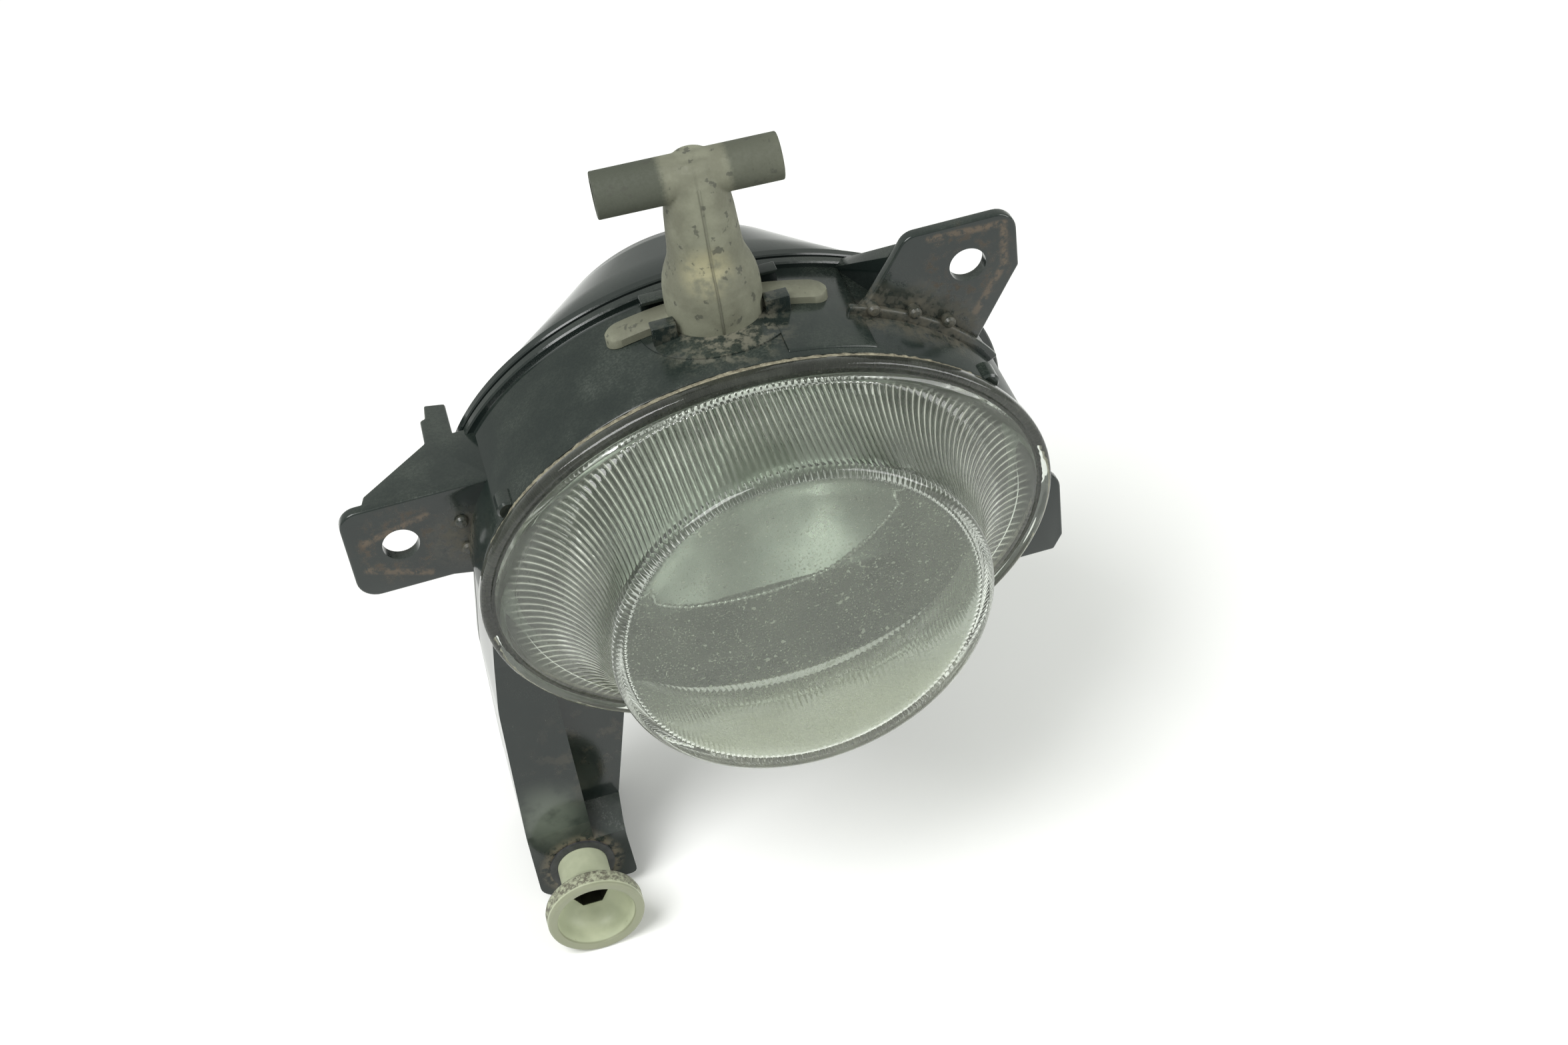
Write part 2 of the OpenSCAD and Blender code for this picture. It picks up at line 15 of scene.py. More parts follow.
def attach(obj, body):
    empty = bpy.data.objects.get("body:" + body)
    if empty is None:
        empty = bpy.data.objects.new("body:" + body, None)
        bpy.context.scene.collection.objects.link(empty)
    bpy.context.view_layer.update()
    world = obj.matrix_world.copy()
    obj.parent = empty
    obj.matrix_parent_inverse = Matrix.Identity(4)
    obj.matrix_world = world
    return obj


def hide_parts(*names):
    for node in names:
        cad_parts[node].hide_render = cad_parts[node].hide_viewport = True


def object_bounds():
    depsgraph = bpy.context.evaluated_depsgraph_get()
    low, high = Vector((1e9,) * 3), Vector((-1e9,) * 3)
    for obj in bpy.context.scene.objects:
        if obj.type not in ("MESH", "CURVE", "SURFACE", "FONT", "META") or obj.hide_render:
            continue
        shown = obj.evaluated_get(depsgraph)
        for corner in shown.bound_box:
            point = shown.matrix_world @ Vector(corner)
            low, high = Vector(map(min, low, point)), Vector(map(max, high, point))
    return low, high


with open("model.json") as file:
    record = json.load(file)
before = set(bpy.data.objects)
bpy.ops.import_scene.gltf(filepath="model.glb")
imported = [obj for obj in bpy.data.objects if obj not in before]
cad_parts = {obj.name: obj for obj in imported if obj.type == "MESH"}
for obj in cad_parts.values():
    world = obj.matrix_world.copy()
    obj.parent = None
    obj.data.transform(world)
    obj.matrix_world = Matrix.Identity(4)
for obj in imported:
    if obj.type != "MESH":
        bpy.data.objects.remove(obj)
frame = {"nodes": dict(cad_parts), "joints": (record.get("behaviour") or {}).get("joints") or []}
cad_low, cad_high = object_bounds()
nodes = frame["nodes"]

MM = 0.001
PIVOT_DEPTH = 22
tilt = next(j for j in frame["joints"] if j["name"] == "reflector_tilt")
spin = next(j for j in frame["joints"] if j["name"] == "adjuster_spin")
LAMP = Vector(tilt["pos_m"]) - Vector((0, PIVOT_DEPTH * MM, 0))
ADJ = ((spin["pos_m"][0] - LAMP.x) / MM, (spin["pos_m"][2] - LAMP.z) / MM)

# Driving sizes, the same as the CAD's
RIM = (55, 40.2)
RIM_DROP = 2.1
DRUM = (54.2, 39.4)
WALL = 2.2
BAND_START = (50.6, 36.7)
BEAD_R = 35
DISC_R = 32.2
NOSE = 26.9
GLASS = 2.4
PLATE_FRONT = 16
PLATE_T = 2.3
PLATE_BACK = PLATE_FRONT + PLATE_T
HOLE_R = 3.5
HOLES = [(-65.8, 7.2), (46.7, 36.9), (52.5, -28.5)]
TEE = (0.3, 22)
TEE_TURN = math.radians(-3)
TEE_TOP = 66.3
PAD_TOP = 37.6
SADDLE_R = 71
MIRROR_EDGE = 23.6
FLUTES = 180

RING = 320  # points round the drum and the rear shell
CORE_RING = 160  # points round the cutters that clear the lamp's inside
LENS_RING = FLUTES * 6
DEEP_FLUTE = 0.2  # flutes at least this deep also cut into the glass
FLAT = (1, 0, 1)  # drops the depth from a position

# ---------------------------------------------------------------- mesh helpers


def turns(count):
    """The angles of count points spaced evenly round a circle."""
    return [2 * math.pi * k / count for k in range(count)]


def oval(half, depth, count, drop=RIM_DROP):
    """A ring of points round an oval in X and Z, at one depth."""
    return [(half[0] * math.cos(a), depth, half[1] * math.sin(a) - drop) for a in turns(count)]


def circle(radius, depth, count, centre=(0, 0)):
    """A ring of points round a line along Y, at one depth."""
    x, z = centre
    return [(x + radius * math.cos(a), depth, z + radius * math.sin(a)) for a in turns(count)]


def grown(half, by):
    """An oval's half sizes, each made larger by one distance."""
    return (half[0] + by, half[1] + by)


def arc(centre, radius, start, end, steps):
    """Points along an arc, angles in degrees."""
    angles = [math.radians(start + (end - start) * k / steps) for k in range(steps + 1)]
    return [(centre[0] + radius * math.cos(a), centre[1] + radius * math.sin(a)) for a in angles]


def polygon(centre, radius, count):
    """A regular outline round a centre."""
    return arc(centre, radius, 0, 360, count)[:-1]


def rounded(outline, radius, steps=4):
    """A closed outline with each corner replaced by an arc-like curve."""
    made = []
    for i, p in enumerate(outline):
        here = Vector(p)
        back = Vector(outline[i - 1]) - here
        ahead = Vector(outline[(i + 1) % len(outline)]) - here
        reach = min(radius, 0.45 * back.length, 0.45 * ahead.length)
        a = here + back.normalized() * reach
        b = here + ahead.normalized() * reach
        for k in range(steps + 1):
            t = k / steps
            made.append(tuple(a * (1 - t) ** 2 + here * 2 * t * (1 - t) + b * t * t))
    return made


def skin(rings, closed=False):
    """Faces through rings of equal point counts, closed on themselves or capped at both ends."""
    bm = bmesh.new()
    made = [[bm.verts.new(p) for p in ring] for ring in rings]
    count = len(made[0])
    pairs = list(zip(made, made[1:] + made[:1])) if closed else list(zip(made, made[1:]))
    for low, high in pairs:
        for i in range(count):
            j = (i + 1) % count
            bm.faces.new((low[i], low[j], high[j], high[i]))
    if not closed:
        bm.faces.new(made[0])
        bm.faces.new(list(reversed(made[-1])))
    bmesh.ops.recalc_face_normals(bm, faces=bm.faces)
    return bm


def prism(outline, y0, y1):
    """Extrudes an outline in X and Z between two depths."""
    return skin([[(x, y, z) for x, z in outline] for y in (y0, y1)])


def side_prism(outline, x0, x1):
    """Extrudes an outline in Y and Z between two X positions."""
    return skin([[(x, y, z) for y, z in outline] for x in (x0, x1)])


def flat_prism(outline, z0, z1):
    """Extrudes an outline in X and Y between two heights."""
    return skin([[(x, y, z) for x, y in outline] for z in (z0, z1)])


def block(low, high):
    """A box between two corners."""
    outline = [(low[0], low[2]), (high[0], low[2]), (high[0], high[2]), (low[0], high[2])]
    return prism(outline, low[1], high[1])


def hull(points):
    """The convex solid round some points."""
    bm = bmesh.new()
    made = bmesh.ops.convex_hull(bm, input=[bm.verts.new(p) for p in points])
    inside = [g for g in made["geom_interior"] if isinstance(g, bmesh.types.BMVert)]
    bmesh.ops.delete(bm, geom=inside, context="VERTS")
    return bm


def rod(radius, y0, y1, centre=(0, 0), count=96):
    """A round bar along Y."""
    return prism(polygon(centre, radius, count), y0, y1)


def rod_x(radius, x0, x1, y, z, count=64):
    """A round bar along X."""
    return side_prism(polygon((y, z), radius, count), x0, x1)


def tab(r0, r1, y0, y1, angle, wide, steps=12):
    """A piece of a ring about the optical axis, wide degrees across."""
    outer = arc((0, 0), r1, angle - wide / 2, angle + wide / 2, steps)
    return prism(outer + arc((0, 0), r0, angle + wide / 2, angle - wide / 2, steps), y0, y1)


def lathe(profile, centre=(0, 0), count=96):
    """Turns a closed profile of radius and depth about a line along Y."""
    return skin([circle(radius, depth, count, centre) for radius, depth in profile], True)


def soften(bm, width, steps=3, angle=28):
    """Rounds every edge sharper than the angle."""
    limit = math.radians(angle)
    sharp = [e for e in bm.edges if len(e.link_faces) == 2 and e.calc_face_angle(0) > limit]
    bmesh.ops.bevel(
        bm, geom=sharp, offset=width, segments=steps, profile=0.5, affect="EDGES", clamp_overlap=True
    )
    return bm


def joined(*parts):
    """Several meshes as one, without merging where they overlap."""
    whole = bmesh.new()
    for bm in parts:
        mesh = bpy.data.meshes.new("part")
        bm.to_mesh(mesh)
        bm.free()
        whole.from_mesh(mesh)
        bpy.data.meshes.remove(mesh)
    return whole


def loose_object(bm, name="temp"):
    """Turns a bmesh into an object of its own."""
    mesh = bpy.data.meshes.new(name)
    bm.to_mesh(mesh)
    bm.free()
    made = bpy.data.objects.new(name, mesh)
    bpy.context.scene.collection.objects.link(made)
    return made


def evaluated(obj):
    """The object's mesh after its modifiers, as a bmesh; the object is removed."""
    mesh = bpy.data.meshes.new_from_object(obj.evaluated_get(bpy.context.evaluated_depsgraph_get()))
    bm = bmesh.new()
    bm.from_mesh(mesh)
    bpy.data.meshes.remove(mesh)
    bpy.data.objects.remove(obj)
    return bm


def combine(bm, other, operation="DIFFERENCE"):
    """A boolean of two closed meshes."""
    body = loose_object(bm)
    tool = loose_object(other)
    step = body.modifiers.new("cut", "BOOLEAN")
    step.object = tool
    step.operation = operation
    step.solver = "EXACT"
    bpy.context.view_layer.update()
    made = evaluated(body)
    bpy.data.objects.remove(tool)
    return made


def fused(bm, voxel, passes):
    """One closed skin round overlapping solids, with soft blends where they meet."""
    body = loose_object(bm)
    remesh = body.modifiers.new("remesh", "REMESH")
    remesh.mode = "VOXEL"
    remesh.voxel_size = voxel
    smooth = body.modifiers.new("smooth", "SMOOTH")
    smooth.factor = 0.5
    smooth.iterations = passes
    bpy.context.view_layer.update()
    return evaluated(body)


def piece(name, bm, body, material, stands_for=(), crease=35):
    """Makes the finished object in the frame, riding on its CAD body."""
    for v in bm.verts:
        v.co = LAMP + v.co * MM
    made = loose_object(bm, name)
    made.data.polygons.foreach_set("use_smooth", [True] * len(made.data.polygons))
    made.data.set_sharp_from_angle(angle=math.radians(crease))
    made.data.materials.append(material)
    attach(made, body)
    if stands_for:
        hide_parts(*stands_for)
    return made


# ---------------------------------------------------------------- materials


class Shader:
    """A Principled material with short names for the nodes that every finish here uses."""

    def __init__(self, name, **inputs):
        self.material = bpy.data.materials.new(name)
        self.material.use_nodes = True
        self.tree = self.material.node_tree
        self.main = self.tree.nodes["Principled BSDF"]
        self.place = self.node("ShaderNodeTexCoord").outputs["Object"]
        for key, value in inputs.items():
            self.main.inputs[key.replace("_", " ")].default_value = value

    def node(self, kind, **settings):
        """A new node with some of its properties set."""
        made = self.tree.nodes.new(kind)
        for key, value in settings.items():
            setattr(made, key, value)
        return made

    def feed(self, value, socket):
        """Links a node's output to a socket, or sets the socket to a plain value."""
        if isinstance(value, bpy.types.NodeSocket):
            self.tree.links.new(value, socket)
        else:
            socket.default_value = value

    def math(self, operation, a, b=0.0, clamp=False):
        made = self.node("ShaderNodeMath", operation=operation, use_clamp=clamp)
        self.feed(a, made.inputs[0])
        self.feed(b, made.inputs[1])
        return made.outputs[0]

    def times(self, *values):
        """The product of several values."""
        made = values[0]
        for value in values[1:]:
            made = self.math("MULTIPLY", made, value)
        return made

    def largest(self, values):
        """The largest of several values at each point."""
        made = values[0]
        for value in values[1:]:
            made = self.math("MAXIMUM", made, value)
        return made

    def vector(self, operation, a, b):
        """Vector maths on two vectors, giving a number for a distance or a dot product."""
        made = self.node("ShaderNodeVectorMath", operation=operation)
        self.feed(a, made.inputs[0])
        self.feed(b, made.inputs[1])
        return made.outputs["Value" if operation in ("DISTANCE", "DOT_PRODUCT") else "Vector"]

    def noise(self, size_mm, detail=4, rough=0.55, stretch=None):
        """Noise from 0 to 1, with features about size_mm across."""
        made = self.node("ShaderNodeTexNoise")
        made.inputs["Scale"].default_value = 1 / (size_mm * MM)
        made.inputs["Detail"].default_value = detail
        made.inputs["Roughness"].default_value = rough
        source = self.place
        if stretch:
            mapping = self.node("ShaderNodeMapping")
            mapping.inputs["Scale"].default_value = stretch
            self.feed(source, mapping.inputs["Vector"])
            source = mapping.outputs[0]
        self.feed(source, made.inputs["Vector"])
        return made.outputs[0]

    def ramp(self, value, low, high, bottom=0.0, top=1.0):
        """Maps low..high to bottom..top smoothly and holds it there outside."""
        made = self.node("ShaderNodeMapRange", interpolation_type="SMOOTHSTEP")
        self.feed(value, made.inputs["Value"])
        limits = (("From Min", low), ("From Max", high), ("To Min", bottom), ("To Max", top))
        for key, number in limits:
            made.inputs[key].default_value = number
        return made.outputs[0]

    def near(self, centre, inner, outer):
        """1 within inner millimetres of a lamp point, fading to 0 at outer."""
        gap = self.vector("DISTANCE", self.place, LAMP + Vector(centre) * MM)
        return self.ramp(gap, inner * MM, outer * MM, 1.0, 0.0)

    def along(self, start, end, inner, outer):
        """1 near the line between two points in X and Z, fading to 0 at outer millimetres."""
        run = Vector((end[0] - start[0], 0, end[1] - start[1])) * MM
        base = LAMP + Vector((start[0], 0, start[1])) * MM
        flat = self.vector("MULTIPLY", self.vector("SUBTRACT", self.place, base), FLAT)
        share = self.math("DIVIDE", self.vector("DOT_PRODUCT", flat, run), run.length_squared, clamp=True)
        foot = self.node("ShaderNodeVectorMath", operation="SCALE")
        foot.inputs[0].default_value = run
        self.feed(share, foot.inputs["Scale"])
        gap = self.vector("DISTANCE", flat, foot.outputs["Vector"])
        return self.ramp(gap, inner * MM, outer * MM, 1.0, 0.0)

    def axis(self, name):
        """The position along X, Y or Z."""
        made = self.node("ShaderNodeSeparateXYZ")
        self.feed(self.place, made.inputs[0])
        return made.outputs[name]

    def span(self, name, start, end, bottom=0.0, top=1.0):
        """Goes from bottom to top between two lamp positions along X, Y or Z."""
        base = getattr(LAMP, name.lower())
        return self.ramp(self.axis(name), base + start * MM, base + end * MM, bottom, top)

    def aside(self, x):
        """How far a point is to either side of a lamp position along X."""
        return self.math("ABSOLUTE", self.math("SUBTRACT", self.axis("X"), LAMP.x + x * MM))

    def facing_up(self):
        """1 where the surface faces up, 0 where it is upright or faces down."""
        split = self.node("ShaderNodeSeparateXYZ")
        self.feed(self.node("ShaderNodeNewGeometry").outputs["Normal"], split.inputs[0])
        return self.ramp(split.outputs["Z"], 0.1, 0.95)

    def tint(self, amount, base, over):
        """Base colour to the colour over it, by amount."""
        made = self.node("ShaderNodeMix", data_type="RGBA")
        self.feed(amount, made.inputs["Factor"])
        self.feed(base if isinstance(base, bpy.types.NodeSocket) else (*base, 1), made.inputs[6])
        self.feed((*over, 1), made.inputs[7])
        return made.outputs[2]

    def bump(self, height, strength, depth_mm):
        """Fine relief, depth_mm from low to high at full strength."""
        made = self.node("ShaderNodeBump")
        made.inputs["Strength"].default_value = strength
        made.inputs["Distance"].default_value = depth_mm * MM
        self.feed(height, made.inputs["Height"])
        self.feed(made.outputs[0], self.main.inputs["Normal"])

    def finish(self, colour, roughness):
        """Sets the last two inputs and hands over the material."""
        self.feed(colour, self.main.inputs["Base Color"])
        self.feed(roughness, self.main.inputs["Roughness"])
        return self.material


# Where the upper and left plates carry rust, as lines in X and Z
RUST_LINES = [
    ((40, 44.6), (54, 44)), ((54, 44), (53.6, 35)), ((53.6, 35), (47.5, 26)), ((-72.5, 9.5), (-60, 12.4)),
    ((-73, 3), (-62, -1.2)),
]
# Where grit gathers at the plates' roots, with its reach
PLATE_ROOTS = [((-54, 17, 5), 9), ((36, 15, 29), 9), ((43, 15, 24), 8), ((28, 15, 33), 7)]


def housing_dirt_and_sheen(s, colour):
    """Rust on the plates, grit, dust and smudges on the drum and leg, and a painted reflection on the leg's
    ramp foot; also how dirty each point is.
    """
    rings = []
    for x, z in HOLES[:2]:
        centre = (x, PLATE_FRONT, z)
        rings.append(s.math("SUBTRACT", s.near(centre, 6.4, 10.5), s.near(centre, HOLE_R, 5.2), clamp=True))
    stain = s.times(s.largest(rings), s.ramp(s.noise(2.6, 4, 0.65), 0.46, 0.7))
    colour = s.tint(s.times(stain, 0.5), colour, (0.095, 0.062, 0.034))
    lines = s.largest([s.along(start, end, 0.25, 1.1) for start, end in RUST_LINES])
    on_front = s.span("Y", PLATE_FRONT + 0.3, PLATE_FRONT + 1, 1, 0)
    lines = s.times(lines, on_front, s.ramp(s.noise(2.2, 5, 0.7), 0.4, 0.56))
    colour = s.tint(s.times(lines, 0.75), colour, (0.10, 0.07, 0.042))
    roots = s.largest([s.near(centre, 1.5, reach) for centre, reach in PLATE_ROOTS])
    grit = s.times(roots, s.ramp(s.noise(1.6, 5, 0.65), 0.3, 0.66))
    colour = s.tint(s.times(grit, 0.85), colour, (0.088, 0.08, 0.058))
    # Painted reflection: the foot of the leg's ramp is made lighter where it catches light.
    ramp_foot_sheen = s.times(s.near((-53, 6, -64), 1, 11), s.ramp(s.noise(5, 4), 0.3, 0.6, 0.4, 1.0))
    colour = s.tint(s.times(ramp_foot_sheen, 0.7), colour, (0.13, 0.15, 0.12))
    powder = s.times(s.near((TEE[0], TEE[1] - 7, 37), 3, 15), s.ramp(s.noise(2.2, 5, 0.65), 0.44, 0.62))
    colour = s.tint(s.times(powder, 0.7), colour, (0.19, 0.18, 0.135))
    smudge = s.times(s.near((-41, 10, -52), 4, 17), s.ramp(s.noise(4, 4), 0.5, 0.66))
    colour = s.tint(s.times(smudge, 0.35), colour, (0.07, 0.06, 0.042))
    mouth = (ADJ[0], 5, ADJ[1])
    collar = s.math("SUBTRACT", s.near(mouth, 7, 9.5), s.near(mouth, 5.6, 6.6), clamp=True)
    collar = s.times(collar, s.ramp(s.noise(1.5, 4), 0.35, 0.55))
    colour = s.tint(s.times(collar, 0.8), colour, (0.14, 0.12, 0.085))
    return colour, s.largest([stain, grit, powder])


def black_plastic(name, dusty=1.0, dirty=False):
    """Glossy black moulding with settled dust, fine scratches and, on the front housing, dirt, rust and a
    painted reflection on the leg's ramp foot.
    """
    s = Shader(name)
    cloud = s.noise(14, 5, 0.6)
    grain = s.noise(0.5, 3, 0.7)
    settled = s.times(s.ramp(cloud, 0.35, 0.75, 0.12, 0.5), s.math("ADD", s.facing_up(), 0.25))
    dust = s.times(settled, s.ramp(grain, 0.3, 0.7, 0.4, 1.0))
    dust = s.math("MULTIPLY", dust, dusty, clamp=True)
    colour = s.tint(dust, (0.008, 0.013, 0.012), (0.060, 0.072, 0.058))
    if dirty:
        # Dirt and rust on the front housing, with a painted reflection on the leg's ramp foot.
        colour, dirt = housing_dirt_and_sheen(s, colour)
        dust = s.largest([dust, dirt])
    scratch = s.noise(0.25, 2, 0.6, (1, 14, 3))
    rough = s.math("ADD", s.ramp(dust, 0, 0.7, 0.1, 0.5), s.ramp(scratch, 0.5, 0.8, 0, 0.07))
    s.bump(s.math("ADD", grain, s.times(cloud, 0.5)), 0.08, 0.08)
    return s.finish(colour, rough)


def breather_rubber():
    """Dusty olive rubber with painted shade on the bar, a pale patch on the bell, a mould seam and scuffs."""
    s = Shader("breather_rubber")
    cloud = s.noise(9, 5, 0.6)
    fine = s.noise(0.6, 4, 0.7)
    colour = s.tint(s.ramp(cloud, 0.38, 0.66), (0.13, 0.132, 0.094), (0.19, 0.195, 0.142))
    # Painted shade: the bar is darkened past the stem, a little less towards its right end.
    past_stem = s.ramp(s.math("ADD", s.aside(TEE[0]), s.times(fine, 1.2 * MM)), 5.6 * MM, 7.4 * MM)
    bar = s.times(s.span("Z", 61, 63), past_stem, s.span("X", -12, 16, 1.0, 0.72))
    colour = s.tint(s.times(bar, 0.95), colour, (0.047, 0.053, 0.038))
    bell = s.near((TEE[0] - 1.5, TEE[1] - 6.5, 50), 1.5, 6.4)
    patch = s.times(bell, s.ramp(s.noise(3, 4), 0.28, 0.54))
    colour = s.tint(s.times(patch, 0.65), colour, (0.36, 0.335, 0.2))
    seam = s.ramp(s.aside(TEE[0] - 0.45), 0.14 * MM, 0.34 * MM, 1, 0)
    seam = s.times(seam, s.span("Y", 14, 19, 1, 0))
    colour = s.tint(s.times(seam, 0.5), colour, (0.055, 0.055, 0.04))
    marks = s.ramp(s.noise(2.4, 3, 0.6), 0.61, 0.67)
    colour = s.tint(s.times(marks, 0.7), colour, (0.05, 0.052, 0.04))
    s.bump(s.math("ADD", fine, s.times(cloud, 0.6)), 0.3, 0.15)
    return s.finish(colour, s.ramp(fine, 0.3, 0.7, 0.62, 0.82))


def pale_nylon():
    """Yellowed nylon with grime round the funnel's outer band, a dull front edge and painted shade in the key
    recess.
    """
    s = Shader("pale_nylon")
    colour = s.tint(s.ramp(s.noise(7, 4), 0.35, 0.68), (0.38, 0.41, 0.285), (0.47, 0.50, 0.355))
    centre = (LAMP.x + ADJ[0] * MM, 0, LAMP.z + ADJ[1] * MM)
    radius = s.vector("DISTANCE", s.vector("MULTIPLY", s.place, FLAT), centre)
    outer = s.ramp(radius, 8.1 * MM, 8.6 * MM)
    grime = s.times(s.span("Y", -9.3, -8.9), s.span("Y", -4.6, -3.2, 1, 0), outer)
    speck = s.ramp(s.noise(1.0, 5, 0.75), 0.40, 0.60, 0.25, 1.0)
    colour = s.tint(s.times(grime, speck), colour, (0.115, 0.11, 0.08))
    colour = s.tint(s.times(s.span("Y", -9.6, -9.2, 1, 0), 0.85), colour, (0.20, 0.21, 0.14))
    # Painted shade: the inside of the key recess is made nearly black.
    recess = s.ramp(radius, 4.15 * MM, 4.4 * MM, 1, 0)
    recess = s.times(recess, s.span("Y", -3.05, -2.7), s.span("Y", 4.3, 4.6, 1, 0))
    colour = s.tint(recess, colour, (0.025, 0.025, 0.018))
    spots = s.ramp(s.noise(1.3, 3, 0.6), 0.68, 0.74)
    colour = s.tint(s.times(spots, 0.5), colour, (0.17, 0.15, 0.09))
    s.bump(s.noise(0.8, 4, 0.7), 0.15, 0.1)
    return s.finish(colour, s.ramp(grime, 0, 1, 0.42, 0.7))


def dirty_glass():
    """Pressed greenish glass with haze, dust and painted highlight lines in its grooves, and specks on the
    front disc.
    """
    green = (0.90, 0.94, 0.885, 1)
    s = Shader("lens_glass", Transmission_Weight=1.0, IOR=1.5, Roughness=0.02, Base_Color=green)
    haze = s.ramp(s.noise(11, 5, 0.6), 0.3, 0.75, 0.05, 0.13)
    disc = s.near((0, -NOSE, 0), DISC_R - 1, DISC_R + 0.6)
    disc = s.times(disc, s.span("Y", 0.9 - NOSE, 0.5 - NOSE, 1, 0))
    cloud = s.ramp(s.noise(9, 5, 0.6), 0.25, 0.75, 0.85, 1.15)
    foot = s.span("Z", -26, -6, 0.52, 0.24)
    specks = s.ramp(s.noise(0.36, 1, 0.5), 0.63, 0.66, 0, 0.42)
    motes = s.ramp(s.noise(1.1, 1, 0.5), 0.70, 0.72, 0, 0.55)
    dots = s.largest([specks, motes])
    dusty = s.math("ADD", s.times(foot, cloud), dots)
    # Along the flutes' grooves: dust, and a lighter film there that paints in the flutes' highlight lines.
    grooves = s.node("ShaderNodeAttribute", attribute_name="groove").outputs["Fac"]
    lines = s.times(grooves, s.ramp(s.noise(7, 4), 0.3, 0.7, 0.25, 0.6))
    cover = s.math("ADD", s.math("ADD", haze, lines), s.times(dusty, disc), clamp=True)
    tone = s.tint(s.span("Z", -24, -4), (0.50, 0.53, 0.40), (0.32, 0.35, 0.285))
    tone = s.tint(dots, tone, (0.52, 0.55, 0.47))
    # The film is lighter along the grooves, as painted highlight lines.
    film = s.node("ShaderNodeBsdfDiffuse")
    s.feed(s.tint(grooves, tone, (0.66, 0.69, 0.60)), film.inputs["Color"])
    mixed = s.node("ShaderNodeMixShader")
    s.feed(cover, mixed.inputs[0])
    s.feed(s.main.outputs[0], mixed.inputs[1])
    s.feed(film.outputs[0], mixed.inputs[2])
    s.feed(mixed.outputs[0], s.tree.nodes["Material Output"].inputs["Surface"])
    return s.material


def mirror_metal():
    """Aged metallised bowl; the rim ahead of the mirror is bare and dark."""
    s = Shader("mirror_metal", Metallic=1.0)
    cloud = s.noise(9, 4)
    colour = s.tint(s.ramp(cloud, 0.35, 0.7), (0.31, 0.34, 0.30), (0.25, 0.28, 0.245))
    rim = s.span("Y", MIRROR_EDGE - 0.2, MIRROR_EDGE + 0.2, 1, 0)
    colour = s.tint(rim, colour, (0.07, 0.08, 0.068))
    return s.finish(colour, s.ramp(cloud, 0.3, 0.7, 0.26, 0.36))


def sealant():
    """Rough brown sealant, dusty on its high spots."""
    s = Shader("sealant")
    fine = s.noise(0.9, 5, 0.75)
    colour = s.tint(s.ramp(fine, 0.35, 0.65), (0.13, 0.115, 0.08), (0.30, 0.28, 0.20))
    s.bump(fine, 0.6, 0.4)
    return s.finish(colour, 0.85)


def plain(name, dark, light, size_mm, roughness, metallic=0.0, stretch=None):
    """A finish with two close tones, uneven roughness and a fine surface."""
    s = Shader(name, Metallic=metallic)
    grain = s.noise(size_mm, 4, 0.6, stretch)
    s.bump(grain, 0.2, 0.05)
    colour = s.tint(s.ramp(grain, 0.35, 0.65), dark, light)
    return s.finish(colour, s.ramp(grain, 0.3, 0.7, roughness, roughness + 0.12))


def clear_glass():
    """The bulb's clear glass, very slightly uneven."""
    colour = (0.97, 0.98, 0.97, 1)
    s = Shader("bulb_clear_glass", Transmission_Weight=1.0, IOR=1.47, Roughness=0.0, Base_Color=colour)
    s.bump(s.noise(6, 2), 0.05, 0.05)
    return s.material


housing = black_plastic("housing_black", dirty=True)
seal_bead = sealant()
tee_rubber = breather_rubber()
pale = pale_nylon()
shell_black = black_plastic("shell_black", 0.45)
cap_black = black_plastic("cap_black", 0.8)
rubber = plain("black_rubber", (0.018, 0.019, 0.019), (0.035, 0.036, 0.034), 1.2, 0.6)
steel = plain("bright_steel", (0.42, 0.42, 0.41), (0.60, 0.60, 0.58), 0.7, 0.28, 1.0, stretch=(1, 8, 1))
brass = plain("terminal_brass", (0.50, 0.36, 0.14), (0.70, 0.54, 0.24), 0.9, 0.3, 1.0)
nylon = plain("white_nylon", (0.62, 0.61, 0.54), (0.74, 0.73, 0.66), 1.5, 0.45)
dark_plastic = plain("dark_plastic", (0.030, 0.032, 0.034), (0.05, 0.052, 0.055), 1.2, 0.4)
tungsten = plain("tungsten", (0.16, 0.16, 0.16), (0.26, 0.26, 0.26), 0.4, 0.45, 1.0)
lens_glass = dirty_glass()
mirror = mirror_metal()
# Bright metal for the bead ring, a painted reflection of the lens flutes.
reflection_bead_metal = plain("reflection_beads", (0.70, 0.73, 0.68), (0.80, 0.83, 0.78), 2.0, 0.2, 1.0)

FINISHES = {
    "seam_seal": rubber, "pivot_pins": steel, "adjuster_bush": dark_plastic, "pivot_bushes": nylon,
    "bulb_base": dark_plastic, "bulb_seal": rubber, "bulb_collar": steel, "bulb_glass": clear_glass(),
    "bulb_filament": tungsten, "bulb_lead_posts": steel, "bulb_contacts": brass, "adjuster_screw": steel,
    "adjuster_shaft_seal": rubber, "adjuster_clip": steel, "adjuster_nut": nylon, "rear_cap": cap_black,
    "rear_cap_seal": rubber, "connector_terminals": brass, "front_housing": housing,
    "rear_housing": shell_black, "reflector": mirror, "lens": lens_glass, "lens_sealant": seal_bead,
    "breather_tee": tee_rubber, "adjuster_knob": pale,
}
for name, material in FINISHES.items():
    mesh = nodes[name].data
    mesh.materials.clear()
    mesh.materials.append(material)
    mesh.polygons.foreach_set("use_smooth", [True] * len(mesh.polygons))
    mesh.set_sharp_from_angle(angle=math.radians(30))

# ---------------------------------------------------------------- front housing

